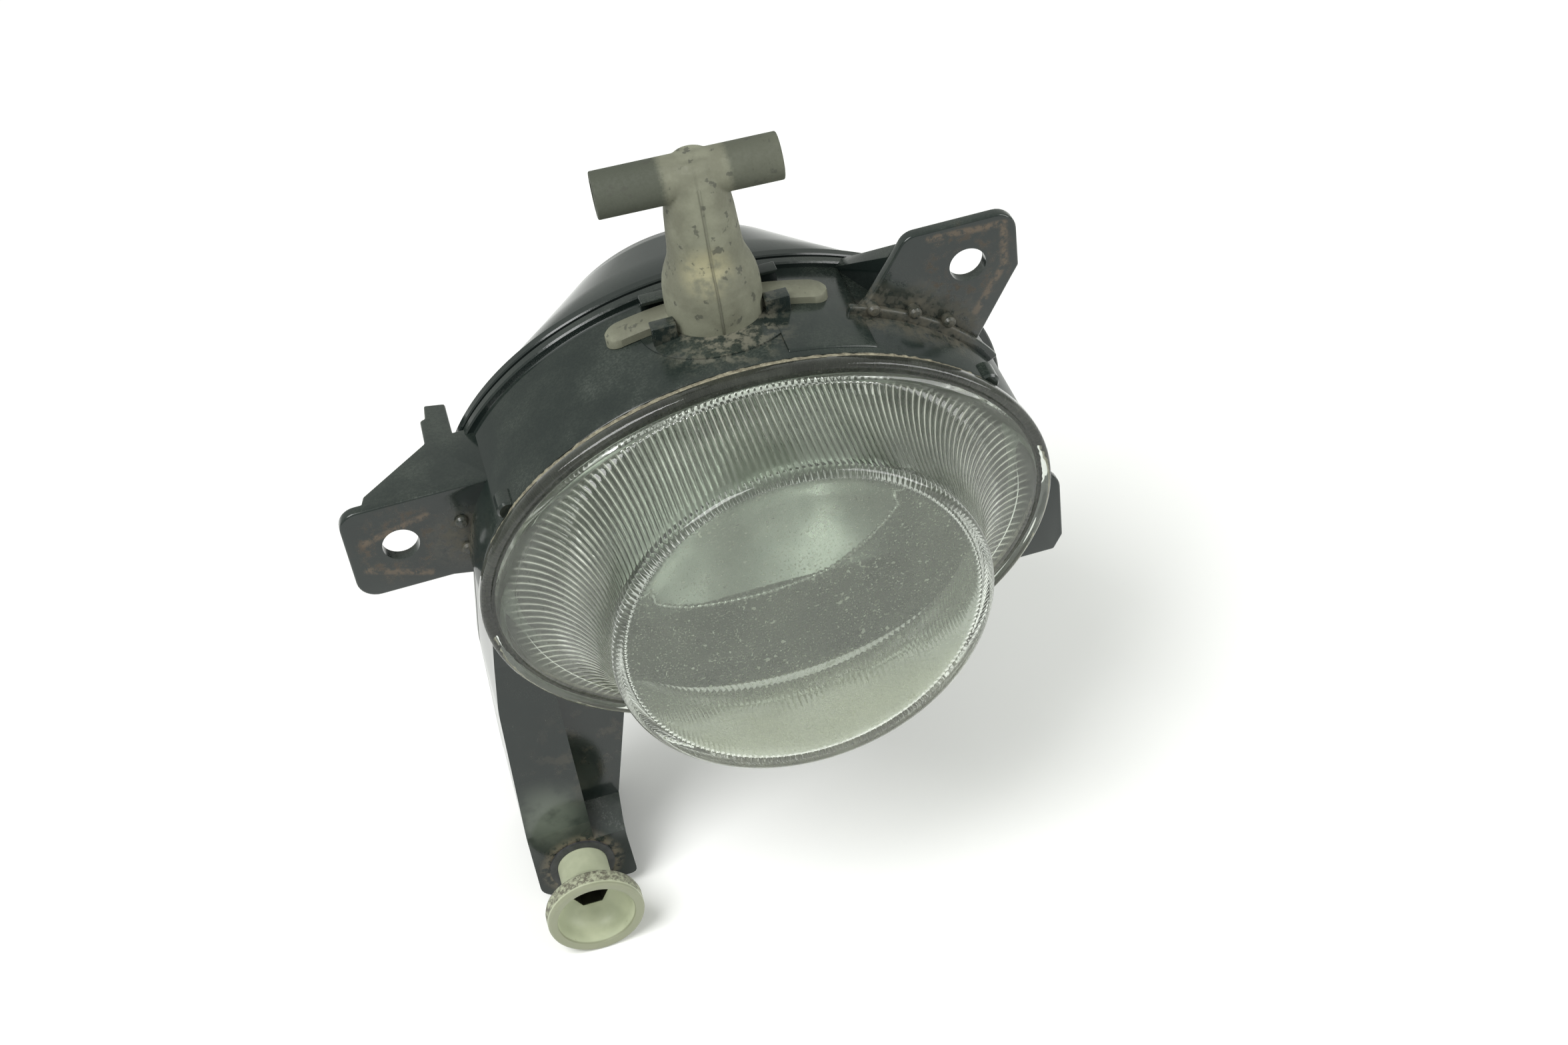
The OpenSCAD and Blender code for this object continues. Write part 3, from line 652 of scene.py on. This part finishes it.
DRUM_FRONT, DRUM_BACK = 3, 32.5
LIP_OUT = 1.5
LEG = [(-46, -10), (-53.4, -12), (-57, -36), (-58.4, -67.6), (-58.4, -84.6), (-56.4, -86.6), (-38, -86.6),
       (-38.6, -73), (-31, -38), (-31, -30)]
LEG_INSIDE = [(-43, -21), (-50.2, -15), (-54.7, -36), (-56.2, -67.6), (-56.2, -84.4), (-40.2, -84.4),
              (-40.8, -72), (-33.6, -40), (-34, -28)]
LEG_SKIN = WALL + 0.3
LEG_LEFT = -60  # safely past the leg's left face
RAMP_RIGHT = -45.2


def drum_rings(profile):
    """Rings round the drum; the profile is how far out from its wall, and the depth."""
    return [oval(grown(DRUM, out), y, RING) for out, y in profile]


def on_drum(out, angle):
    """The X and Z of a point so far out from the drum's wall, at an angle."""
    return ((DRUM[0] + out) * math.cos(angle), (DRUM[1] + out) * math.sin(angle) - RIM_DROP)


def lamp_core(out, y0, y1):
    """A solid oval that follows the drum's wall at a distance, for cutting."""
    return prism([(x, z) for x, _, z in oval(grown(DRUM, out), 0, CORE_RING)], y0, y1)


def leg_side(ramp, inset=0):
    """Side view of the leg in Y and Z: sloping ramp or plain front, then the end block."""
    back = DRUM_BACK + (1 if inset else 0)
    top = [(back, -8), (12 + inset, -8)]
    slope = [(12 + inset, -26), (5 + inset * 4 / 3, -67.6 - inset / 2)]
    step = [(12 + inset, -69 - inset / 2), (5 + inset, -73 - inset / 2)]
    return top + (slope if ramp else step) + [(5 + inset, -87.6), (back, -87.6)]


def leg_solid(outline, inset=0):
    """The leg's outer solid, or with an inset the hollow inside it."""
    ramp = side_prism(leg_side(True, inset), LEG_LEFT, RAMP_RIGHT - (WALL if inset else 0))
    sides = combine(ramp, side_prism(leg_side(False, inset), LEG_LEFT, 0), "UNION")
    return combine(prism(outline, 0, DRUM_BACK + (1 if inset else 0)), sides, "INTERSECT")


def drum():
    """The oval drum with its rounded front edge and the lip at the seam, open into the leg."""
    lip = DRUM_BACK - 2
    profile = [(-WALL, DRUM_FRONT), (-0.7, DRUM_FRONT), (-0.25, DRUM_FRONT + 0.15), (0, DRUM_FRONT + 0.6),
               (0, DRUM_BACK - 2.35), (0.12, DRUM_BACK - 2.08), (0.4, lip), (LIP_OUT - 0.3, lip),
               (LIP_OUT, DRUM_BACK - 1.7), (LIP_OUT, DRUM_BACK - 0.25), (LIP_OUT - 0.25, DRUM_BACK),
               (-WALL, DRUM_BACK)]
    return combine(skin(drum_rings(profile), True), leg_solid(LEG_INSIDE, LEG_SKIN))


def leg():
    """The hollow leg, with the bore for the adjuster."""
    body = soften(leg_solid(rounded(LEG, 1.6)), 0.6, 3, 8)
    body = outside(combine(body, leg_solid(LEG_INSIDE, LEG_SKIN)))
    return combine(body, rod(6, 0, 7.7, ADJ))


def outside(bm):
    """Cuts away whatever reaches through the drum's wall into the lamp."""
    return combine(bm, lamp_core(-1.4, 0, DRUM_BACK + 2))


def bolt_hole(hole):
    """The cutter for one bolt hole."""
    return rod(HOLE_R, PLATE_FRONT - 1, PLATE_BACK + 1, hole)


def plate(outline, hole):
    """A bracket plate with rounded edges and its bolt hole."""
    return combine(outside(soften(prism(outline, PLATE_FRONT, PLATE_BACK), 0.45)), bolt_hole(hole))


def pip(radius, front, centre):
    """A low round pip standing out of a plate's root."""
    foot = PLATE_FRONT + 1
    profile = [(0.02, front), (radius - 0.4, front + 0.1), (radius, front + 0.6), (radius, foot)]
    return lathe(profile + [(0.02, foot)], centre, 32)


def left_bracket():
    """The left plate with the gusset above it and two pips at its root."""
    top = 17
    outline = [(-48, top)] + arc((-72.2, top - 3.6), 3.6, 90, 180, 8) + arc((-71.8, 0.5), 4, 180, 270, 8)
    outline += [(-58, -3.4), (-50, -5)]
    gusset = [(-46, PLATE_FRONT), (-71.5, PLATE_FRONT), (-70.2, 20.3), (-57, 31.2), (-56.8, 38.2),
              (-55.8, 38.6), (-55.4, 42.6), (-51.4, 41.6), (-51.4, 32.3), (-46, 32.3)]
    pips = [pip(1.3, 14.9, (-54, z)) for z in (9, 2.4)]
    body = combine(prism(outline, PLATE_FRONT, PLATE_BACK), flat_prism(gusset, top - 2.2, top), "UNION")
    return joined(outside(combine(soften(body, 0.45), bolt_hole(HOLES[0]))), *pips)


def upper_bracket():
    """The upper right plate, the web behind it, the shelf along the drum and three pips."""
    top = 46.2
    outline = [(22, 30), (27.5, 34.5), (33.2, 42.6)] + arc((37.4, top - 3.4), 3.4, 150, 90, 6)
    outline += arc((52.4, top - 4), 4, 90, 0, 8) + [(56.4, 34), (55, 31.8), (46.6, 18), (40, 15)]
    web_foot = ((32.4, 41.4), (34.4, 43.6), (36.4, 38), (33, 30))
    web = [(x, PLATE_BACK + 0.3 * k, z) for k in (0, 1) for x, z in web_foot]
    web += [(x, DRUM_BACK, z) for x, z in ((24, 32), (26.4, 33.4), (27, 30))]
    angles = [math.radians(25 + 40 * k / 24) for k in range(25)]
    shelf = [on_drum(1.9, a) for a in angles] + [on_drum(-0.6, a) for a in reversed(angles)]
    pips = [pip(1.2, 13.6, centre) for centre in ((27.9, 33.4), (35.6, 30.4), (41.9, 26.4))]
    solids = [plate(outline, HOLES[1]), soften(hull(web), 0.5), soften(prism(shelf, 14.6, 16.2), 0.5)]
    return joined(*solids, *pips)


def lower_bracket():
    """The lower right plate with a rib behind it."""
    outline = [(40, -14), (56.5, -18)] + arc((58.4, -22.4), 4, 90, 0, 8)
    outline += [(62.4, -35.4), (60.4, -38.8), (44, -38.8), (32, -33)]
    rib = prism([(36, -32), (59, -38.6), (59, -36.8), (36, -29.6)], PLATE_BACK - 0.05, PLATE_BACK + 3)
    return joined(plate(outline, HOLES[2]), outside(soften(rib, 0.4)))


def shoulder_panel():
    """A slightly raised panel beside the breather, ending at the upper bracket."""
    section = [(-1, 4.4), (0.1, 4.4), (0.4, 4.8), (0.4, DRUM_BACK - 2), (-1, DRUM_BACK - 2)]
    columns = []
    for k in range(21):
        angle = math.radians(62 + 18 * k / 20)
        points = [(on_drum(out, angle), y) for out, y in section]
        columns.append([(x, y, z) for (x, z), y in points])
    return soften(skin(columns), 0.15, 2)


def saddle_height(x):
    """Height of the drum's rounded top pad."""
    return PAD_TOP - SADDLE_R + math.sqrt(SADDLE_R ** 2 - (x - TEE[0]) ** 2)


def breather_pad():
    """The rounded pad and the spigot under the breather, with four hooks over its wings."""

    def ring(radius, height=None, sunk=0):
        """A ring at one height, or else on the drum's rounded top, cut short behind."""
        points = []
        for a in turns(96):
            x, y = TEE[0] + radius * math.cos(a), min(TEE[1] + radius * math.sin(a), DRUM_BACK - 0.5)
            points.append((x, y, saddle_height(x) - sunk if height is None else height))
        return points

    pad = skin([ring(15, 34), ring(15, sunk=0.5), ring(14.85), ring(10), ring(5)])
    spigot = skin([ring(radius, z) for radius, z in ((5, 34.6), (5, 45), (3, 45), (3, 34.6))], True)
    solids = [outside(pad), spigot]
    foot, under, over = 34.4, 39.35, 40.2
    for x_side in (-1, 1):
        for y_side in (-1, 1):
            x, y = TEE[0] + x_side * 10.6, TEE[1] + y_side * 5
            back, front, tip = y + y_side * 0.7, y - y_side * 0.7, y - y_side * 2
            hook = [(back, foot), (back, over), (tip, over), (tip, under), (front, under), (front, foot)]
            solids.append(soften(side_prism(hook, x - 2.3, x + 2.3), 0.2))
    return joined(*solids)


def housing_bosses():
    """The two bosses that hold the reflector's pins and the two round lugs behind the rim."""
    solids = []
    for side in (-1, 1):
        ends = sorted((side * 50.4, side * 53))
        boss = rod_x(4, *ends, PIVOT_DEPTH, 0)
        solids.append(combine(boss, rod_x(1.5, min(ends) - 1, max(ends) + 1, PIVOT_DEPTH, 0)))
        lug = [(0.02, 3.2), (1.6, 3.2), (2, 3.6), (2, 7.4), (1.5, 8), (0.02, 8)]
        solids.append(lathe(lug, (side * 45.4, 18.9), 40))
    return joined(*solids)


piece("housing_drum", drum(), "housing", housing, ["front_housing"], 40)
piece("housing_leg", leg(), "housing", housing, (), 8)
piece("bracket_left", left_bracket(), "housing", housing)
piece("bracket_upper_right", upper_bracket(), "housing", housing)
piece("bracket_lower_right", lower_bracket(), "housing", housing)
piece("breather_pad", breather_pad(), "housing", housing)
piece("shoulder_panel", shoulder_panel(), "housing", housing)
piece("housing_bosses", housing_bosses(), "housing", housing)


def sealant_bead():
    """A rough bead squeezed out between the lens and the drum."""
    # how far out from the drum's wall, the depth, and how uneven
    profile = [(-2.6, 1.2, 0), (0.1, 1.2, 0.25), (0.2, 1.9, 0.35), (0.15, 2.6, 0.3), (-0.4, 3.0, 0),
               (-2.6, 3.0, 0)]
    rings = []
    for out, y, rough in profile:
        ring = []
        for x, depth, z in oval(grown(DRUM, out - 0.1), y, 720):
            swell = 1 + rough * noise.noise(Vector((x, depth * 2, z)) * 0.9) / 48
            ring.append((x * swell, depth, z * swell))
        rings.append(ring)
    return skin(rings, True)


piece("lens_sealant_bead", sealant_bead(), "housing", seal_bead, ["lens_sealant"], 60)

# ---------------------------------------------------------------- rear housing and cap

SEAM_BACK = 33.3
SHELL_BACK = 58
CAP_CATCHES = (30, 150, 270)


def rear_shell():
    """The rear housing: the lip at the seam, a hump that closes to a round back, and the cap's collar."""

    def hump(inset, back):
        """Rings from the seam to the round back."""
        rings = [oval(grown(DRUM, -1 - inset), SEAM_BACK + 1.6, RING)]
        rings.append(oval((50.4 - inset, 38.1 - inset), 39.8, RING))
        for k in range(7):
            share = k / 6
            wide = (47 - inset) * (1 - share) + (32 - inset) * share
            tall = (37.5 - inset) * (1 - share) + (32 - inset) * share
            rings.append(oval((wide, tall), 44 + (back - 44) * k / 6, RING, RIM_DROP * (1 - share)))
        return rings

    lip = [(-WALL, SEAM_BACK), (LIP_OUT - 0.25, SEAM_BACK), (LIP_OUT, SEAM_BACK + 0.25),
           (LIP_OUT, SEAM_BACK + 1.75), (LIP_OUT - 0.25, SEAM_BACK + 2), (-0.9, SEAM_BACK + 2)]
    collar = [(31.4, SHELL_BACK), (21, SHELL_BACK), (20.5, SHELL_BACK + 0.5), (20.5, 65.6), (20.1, 66),
              (18.7, 66), (18.3, 65.6), (18.3, 55.6), (29.6, 55.6)]
    outer = drum_rings(lip) + hump(0, SHELL_BACK - 0.5) + [circle(r, y, RING) for r, y in collar]
    return skin(outer + list(reversed(hump(WALL, 55.4))), True)


def rear_details():
    """The leg's back cover, the adjuster's rear bearing and the catches round the cap."""
    cover = soften(prism(rounded(LEG[1:], 1.6), SEAM_BACK, SEAM_BACK + 2), 0.5)
    solids = [combine(cover, lamp_core(-2, SEAM_BACK - 1, SEAM_BACK + 3))]
    bearing = rod(4.2, DRUM_BACK - 4, SEAM_BACK + 1, ADJ)
    solids.append(combine(bearing, rod(2.58, DRUM_BACK - 5, SEAM_BACK + 0.6, ADJ)))
    for angle in CAP_CATCHES:
        solids.append(soften(tab(26, 27.8, SHELL_BACK - 1, 62, angle, 22), 0.3))
        solids.append(soften(tab(23.4, 27.8, 60.7, 62, angle, 22), 0.3))
    return joined(*solids)


piece("rear_shell", rear_shell(), "housing", shell_black, ["rear_housing"], 40)
piece("rear_details", rear_details(), "housing", shell_black)


def cap():
    """The rear cap with its grip ribs, bayonet tabs and the connector's socket."""
    profile = [(0.02, 67.4), (20.75, 67.4), (20.75, 58.8), (21, 58.6), (22.7, 58.6), (23, 58.9), (23, 68.7),
               (22.8, 69.2), (22.3, 69.4), (18, 69.4), (17.4, 69.0), (16.8, 69.4), (0.02, 69.4)]
    solids = [lathe(profile, count=192)]
    for k in range(12):
        rib = soften(block((22.6, 62.6, -0.8), (23.8, 68.8, 0.8)), 0.3)
        bmesh.ops.rotate(rib, verts=rib.verts, matrix=Matrix.Rotation(math.radians(30 * k), 3, "Y"))
        solids.append(rib)
    solids += [soften(tab(22, 25.6, 58.6, 60.3, angle, 18), 0.3) for angle in CAP_CATCHES]
    socket = soften(block((-8, 68.4, -6), (8, 84, 6)), 0.9)
    solids.append(combine(socket, soften(block((-6.5, 71.4, -4.5), (6.5, 90, 4.5)), 0.5)))
    solids.append(soften(block((-2, 76, 5.8), (2, 79, 7.2)), 0.3))
    return joined(*solids)


piece("rear_cap_moulding", cap(), "rear_cap", cap_black, ["rear_cap"], 35)

# ---------------------------------------------------------------- breather


def breather():
    """The tee: a belled stem blended into the bar, a raised mould seam and two flat wings."""
    stem = [(8.5, 36), (8.95, 37.2), (9.0, 39.5), (9.0, 42), (8.9, 44), (8.6, 45.8), (8.1, 47.4), (7.5, 48.9),
            (7.05, 50.2), (6.8, 52), (6.6, 55), (6.35, 59), (5.9, 63), (5.4, TEE_TOP), (4.4, TEE_TOP + 2.8),
            (3.2, TEE_TOP + 4)]
    rings = [[(radius * math.cos(a), radius * math.sin(a), z) for a in turns(96)] for radius, z in stem]
    body = fused(joined(skin(rings), rod_x(4.3, -17.8, 15.6, 0, TEE_TOP)), 0.22, 3)
    body = combine(body, rod_x(2.8, -30, 30, 0, TEE_TOP))
    front = [(-r - 0.14, z) for r, z in stem[1:-2]] + [(-r + 1, z) for r, z in reversed(stem[1:-2])]
    seam = soften(side_prism(front, -0.16, 0.16), 0.05, 1)
    made = joined(body, seam, wing(-1), wing(1))
    bmesh.ops.rotate(made, verts=made.verts, matrix=Matrix.Rotation(TEE_TURN, 3, "Z"))
    bmesh.ops.translate(made, verts=made.verts, vec=(TEE[0], TEE[1], 0))
    return made


def wing(side):
    """One of the two flat wings, following the drum's rounded top."""
    thick = 1.9
    rows = []
    for k in range(49):
        x = side * (4 + 16.7 * k / 48)
        over = max(abs(x) - 18, 0)
        half = math.sqrt(2.8 ** 2 - over ** 2)
        base = saddle_height(TEE[0] + x)
        edge = min(0.35, half / 3)
        section = [(-half, 0.03), (-half, thick - edge), (-half + edge, thick), (half - edge, thick),
                   (half, thick - edge), (half, 0.03)]
        rows.append([(x, y, base + z) for y, z in section])
    return skin(rows)


piece("breather_rubber_tee", breather(), "housing", tee_rubber, ["breather_tee"], 45)

# ---------------------------------------------------------------- adjuster

KEY_R = 4.04  # to the corners of the key recess


def knob():
    """The adjuster's shaft and funnel, with the key recess at the funnel's bottom."""
    profile = [(0.02, -3), (0.02, 13), (3.4, 13), (3.8, 12.6), (3.8, 8.75), (3, 8.75), (3, 7.85), (3.8, 7.85),
               (3.8, 7.5), (5.2, 7.5), (5.2, 7), (3.5, 7), (3.5, 5.2), (5.2, 5.2), (5.2, -1.3), (5.35, -1.9),
               (6, -3.2), (7.6, -4.5), (9.3, -5.7), (9.75, -6.1), (10, -6.8), (10, -9.3), (9.85, -9.75),
               (9.5, -10), (8.5, -10), (8.1, -9.8), (7.95, -9.4), (7.8, -7), (7.5, -5.9), (6.8, -4.8),
               (5.4, -3.6), (4.4, -3)]
    return combine(lathe(profile, ADJ, 144), prism(polygon(ADJ, KEY_R, 6), -4, 4))


piece("adjuster_funnel", knob(), "adjuster", pale, ["adjuster_knob"], 35)

# ---------------------------------------------------------------- reflector

FOCAL, APEX = 13, 50
MIRROR = (47.5, 33.5)
MIRROR_FRONT = 7
MIRROR_T = 1.8
BULB_HOLE_R = 7.6
BULB_CATCHES = (90, 210, 330)


def oval_reach(half, angle, drop=RIM_DROP):
    """Distance from the optical axis to a lowered oval, along one angle."""
    c, s = math.cos(angle), math.sin(angle)
    p = (c / half[0]) ** 2 + (s / half[1]) ** 2
    q = s * drop / half[1] ** 2
    return (-q + math.sqrt(q * q - p * ((drop / half[1]) ** 2 - 1))) / p


def bowl():
    """The mirror: a paraboloid cut by the oval, behind a straight rim."""
    angles = turns(360)
    widest = math.sqrt(4 * FOCAL * (APEX - MIRROR_FRONT))
    reach = [min(oval_reach(MIRROR, a), widest - 0.01) for a in angles]

    def depth(radius):
        return APEX - radius * radius / (4 * FOCAL)

    profile = []
    for k in range(5):
        profile.append([(r, MIRROR_FRONT + (depth(r) - MIRROR_FRONT) * k / 4) for r in reach])
    for k in range(1, 37):
        share = k / 36
        inward = [r * (1 - share) + BULB_HOLE_R * share for r in reach]
        profile.append([(r, depth(r)) for r in inward])

    def rings(thick):
        made = []
        for row in profile:
            turned = zip(angles, row)
            made.append([((r + thick) * math.cos(a), y, (r + thick) * math.sin(a)) for a, (r, y) in turned])
        return made

    return skin(rings(0) + list(reversed(rings(MIRROR_T))), True)


def reflector_back():
    """The reflector's pivot bosses, the arm down the leg with its fork, and the bulb's seat."""
    solids = []
    for side in (-1, 1):
        boss = rod_x(4, *sorted((side * 43, side * 49.9)), PIVOT_DEPTH, 0)
        solids.append(combine(boss, rod_x(2.6, *sorted((side * 44, side * 51)), PIVOT_DEPTH, 0)))
    root = [(-31, -28.6), (-38, -20.4), (-41, -25.5), (-36, -30.6)]
    arm = [(-34.9, -25.2), (-37.6, -21.8), (-51.4, -40), (-51.4, -68), (-55, -69.4), (-55, -71.4),
           (-42.6, -71.4), (-42.6, -69.4), (-46.4, -68), (-46.4, -44), (-35.6, -31)]
    solids.append(soften(prism(root, PIVOT_DEPTH - 5, PIVOT_DEPTH + 2), 0.4))
    solids.append(soften(prism(arm, PIVOT_DEPTH - 2.5, PIVOT_DEPTH + 2.5), 0.5))
    slot, half, low, high = 1.85, 4, -83, -70.4
    prong = [(PIVOT_DEPTH - half, low), (PIVOT_DEPTH - half, high), (PIVOT_DEPTH + half, high),
             (PIVOT_DEPTH + half, low), (PIVOT_DEPTH + slot, low)]
    prong += arc((PIVOT_DEPTH, ADJ[1]), slot, 0, 180, 16) + [(PIVOT_DEPTH - slot, low)]
    for side in (-1, 1):
        solids.append(soften(side_prism(prong, ADJ[0] + side * 5.3 - 0.8, ADJ[0] + side * 5.3 + 0.8), 0.2))
    seat = [(8.4, 49), (12, 47.5), (15.5, 45.7), (15.5, 54), (11.1, 54), (11.1, 53.1), (12.9, 53.1),
            (12.9, 50.7), (11.1, 50.7), (11.1, 50), (8.4, 50)]
    ring = lathe(seat, count=144)
    for angle in BULB_CATCHES:
        ring = combine(ring, tab(10.5, 12.9, 52, 55, angle + 45, 34))
    return joined(*solids, ring)


def reflection_beads():
    """A bright beaded ring at the lower edge where the metallised part begins: a painted reflection, standing
    in for the flutes' reflected highlights.
    """
    beads = 60
    rings = []
    for k in range(601):
        share = k / 600
        a = math.radians(205 + 130 * share)
        reach = min(oval_reach(MIRROR, a), math.sqrt(4 * FOCAL * (APEX - MIRROR_EDGE))) - 0.1
        radius = 0.22 + 0.42 * abs(math.sin(math.pi * share * beads))
        centre = Vector((reach * math.cos(a), MIRROR_EDGE, reach * math.sin(a)))
        out = Vector((math.cos(a), 0, math.sin(a)))
        back = Vector((0, 1, 0))
        rings.append([tuple(centre + (out * math.cos(t) + back * math.sin(t)) * radius) for t in turns(10)])
    return skin(rings)


piece("reflector_bowl", bowl(), "reflector", mirror, ["reflector"], 30)
# The bead ring is a painted reflection of the lens flutes in the mirror.
piece("reflector_reflection_beads", reflection_beads(), "reflector", reflection_bead_metal)
piece("reflector_back", reflector_back(), "reflector", mirror)

# ---------------------------------------------------------------- lens


def flare(u, inward):
    """One ring of the flare, u from 0 at the band to 1 at the nose, with flutes on both sides."""
    turn = u * math.pi / 2
    start, end = -2.0 + inward, -NOSE + 3.4
    share = 1 - math.sin(turn)
    depth = start + (end - start) * (1 - math.cos(turn))
    half = [BEAD_R - inward + (side - BEAD_R) * share for side in BAND_START]
    height = (0.3 if inward else 0.14) * min(1, u * 14) * (1 if u < 0.5 else max(0.2, 1 - 1.8 * (u - 0.5)))
    return flute_ring(half, depth, RIM_DROP * share, height)


def flute_ring(half, depth, drop=RIM_DROP, height=0):
    """An oval ring of the lens, its radius swelling in rounded flutes."""
    sunk = 0.6 if height >= DEEP_FLUTE else 0
    ring = []
    for a in turns(LENS_RING):
        reach = oval_reach(half, a, drop) - height * (abs(math.sin(FLUTES * a / 2)) - sunk)
        ring.append((reach * math.cos(a), depth, reach * math.sin(a)))
    return ring


def dome(radius):
    """How far the front disc bulges at a radius."""
    return 0.9 * (1 - (radius / DISC_R) ** 2)


def lens_skin():
    """The whole glass as one closed skin, from the disc's middle inside to its middle outside."""

    def round_ring(radius, depth, height=0):
        return flute_ring((radius, radius), depth, 0, height)

    steps = [k / 16 for k in range(17)]
    inner = [round_ring(r, -NOSE + GLASS - dome(r)) for r in (0.4, 8, 16, 24, 30)]
    inner += [round_ring(DISC_R - 0.6, -NOSE + GLASS + 0.1), round_ring(DISC_R, -NOSE + 2.7)]
    inner += [round_ring(DISC_R + 0.1, -NOSE + 3, 0.45)]
    inner += [flare(u, GLASS) for u in reversed(steps)]
    back = [flute_ring(grown(BAND_START, -GLASS), 1.2), flute_ring(grown(RIM, -0.4), 1.2)]
    back += [flute_ring(RIM, 0.8)]
    # rounded outer bead, a shallow groove inside it, then the plain band
    bead = [(0, -0.6), (-0.15, -1.1), (-0.6, -1.5), (-1.1, -1.6), (-1.6, -1.45), (-2.0, -1.1), (-2.3, -0.95),
            (-2.7, -1.1), (-3.0, -1.5)]
    front = [flute_ring(grown(RIM, out), y) for out, y in bead]
    outer = [flare(u, 0) for u in steps]
    # how far in from the nose's bead, and behind its tip
    nose = [(BEAD_R + 0.2, 2.2), (BEAD_R + 0.15, 1.4), (BEAD_R - 0.4, 0.7), (BEAD_R - 1.2, 0.35),
            (DISC_R + 0.6, 0.35), (DISC_R, 0), (30, -0.12)]
    tip = [round_ring(r, -NOSE + behind) for r, behind in nose]
    tip += [round_ring(r, -NOSE - dome(r)) for r in (24, 16, 8, 0.4)]
    bm = skin(inner + back + front + outer + tip)
    # A weight along each flute's groove, for the dust and the painted highlight lines there.
    groove = bm.verts.layers.float.new("groove")
    bm.verts.ensure_lookup_table()
    first = len(inner) + len(back) + len(front)
    for k, u in enumerate(steps):
        strength = min(1, u * 10) * min(1, (1 - u) * 2.2)
        for i in range(LENS_RING):
            fold = 1 - abs(math.sin(math.pi * FLUTES * i / LENS_RING))
            bm.verts[(first + k) * LENS_RING + i][groove] = strength * fold ** 2
    return bm


piece("lens_shell", lens_skin(), "housing", lens_glass, ["lens"], 50)

# ---------------------------------------------------------------- camera, light and floor

CAMERA_AZIMUTH = math.radians(-9.58)
CAMERA_ELEVATION = math.radians(41.52)
CAMERA_ROLL = math.radians(8.75)
CAMERA_DISTANCE = 431.8 * MM
LENS_MM = 53.57
CAMERA_TARGET = LAMP + Vector((3.1, 0, 2.0)) * MM
SKY = 0.62


def add_camera():
    """The camera, turned about the target."""
    data = bpy.data.cameras.new("camera")
    data.lens = LENS_MM
    data.sensor_width = 36
    data.clip_start = 0.01
    back = Vector((
        math.sin(CAMERA_AZIMUTH) * math.cos(CAMERA_ELEVATION),
        -math.cos(CAMERA_AZIMUTH) * math.cos(CAMERA_ELEVATION),
        math.sin(CAMERA_ELEVATION),
    ))
    camera = bpy.data.objects.new("camera", data)
    camera.rotation_mode = "QUATERNION"
    camera.location = CAMERA_TARGET + back * CAMERA_DISTANCE
    roll = Euler((0, 0, -CAMERA_ROLL)).to_quaternion()
    camera.rotation_quaternion = (-back).to_track_quat("-Z", "Y") @ roll
    bpy.context.scene.collection.objects.link(camera)
    bpy.context.scene.camera = camera


def add_light(name, place, size, power):
    """A soft rectangular light at metres from the lamp, facing it."""
    data = bpy.data.lights.new(name, "AREA")
    data.shape = "RECTANGLE"
    data.size, data.size_y = size
    data.energy = power
    light = bpy.data.objects.new(name, data)
    light.location = LAMP + Vector(place)
    light.rotation_mode = "QUATERNION"
    light.rotation_quaternion = (-Vector(place)).to_track_quat("-Z", "Y")
    bpy.context.scene.collection.objects.link(light)


def add_floor():
    """A wide pale floor under the lowest point."""
    bm = bmesh.new()
    bmesh.ops.create_grid(bm, x_segments=1, y_segments=1, size=3)
    floor = loose_object(bm, "floor")
    floor.location = (LAMP.x, LAMP.y, cad_low.z)
    s = Shader("floor_paper", Roughness=0.9)
    tone = s.tint(s.noise(400, 2), (0.93, 0.93, 0.92), (0.96, 0.96, 0.95))
    floor.data.materials.append(s.finish(tone, 0.9))


def set_world():
    """Even, faintly green studio light from all round."""
    world = bpy.data.worlds.new("studio")
    world.use_nodes = True
    sky = world.node_tree.nodes["Background"]
    sky.inputs["Color"].default_value = (0.97, 1.0, 0.95, 1)
    sky.inputs["Strength"].default_value = SKY
    bpy.context.scene.world = world


add_camera()
add_light("key", (-0.5, -0.3, 0.9), (0.6, 0.6), 10)
add_light("side", (0.9, -0.5, 0.5), (0.4, 0.9), 6)
add_floor()
set_world()
bpy.context.scene.view_settings.view_transform = "Standard"
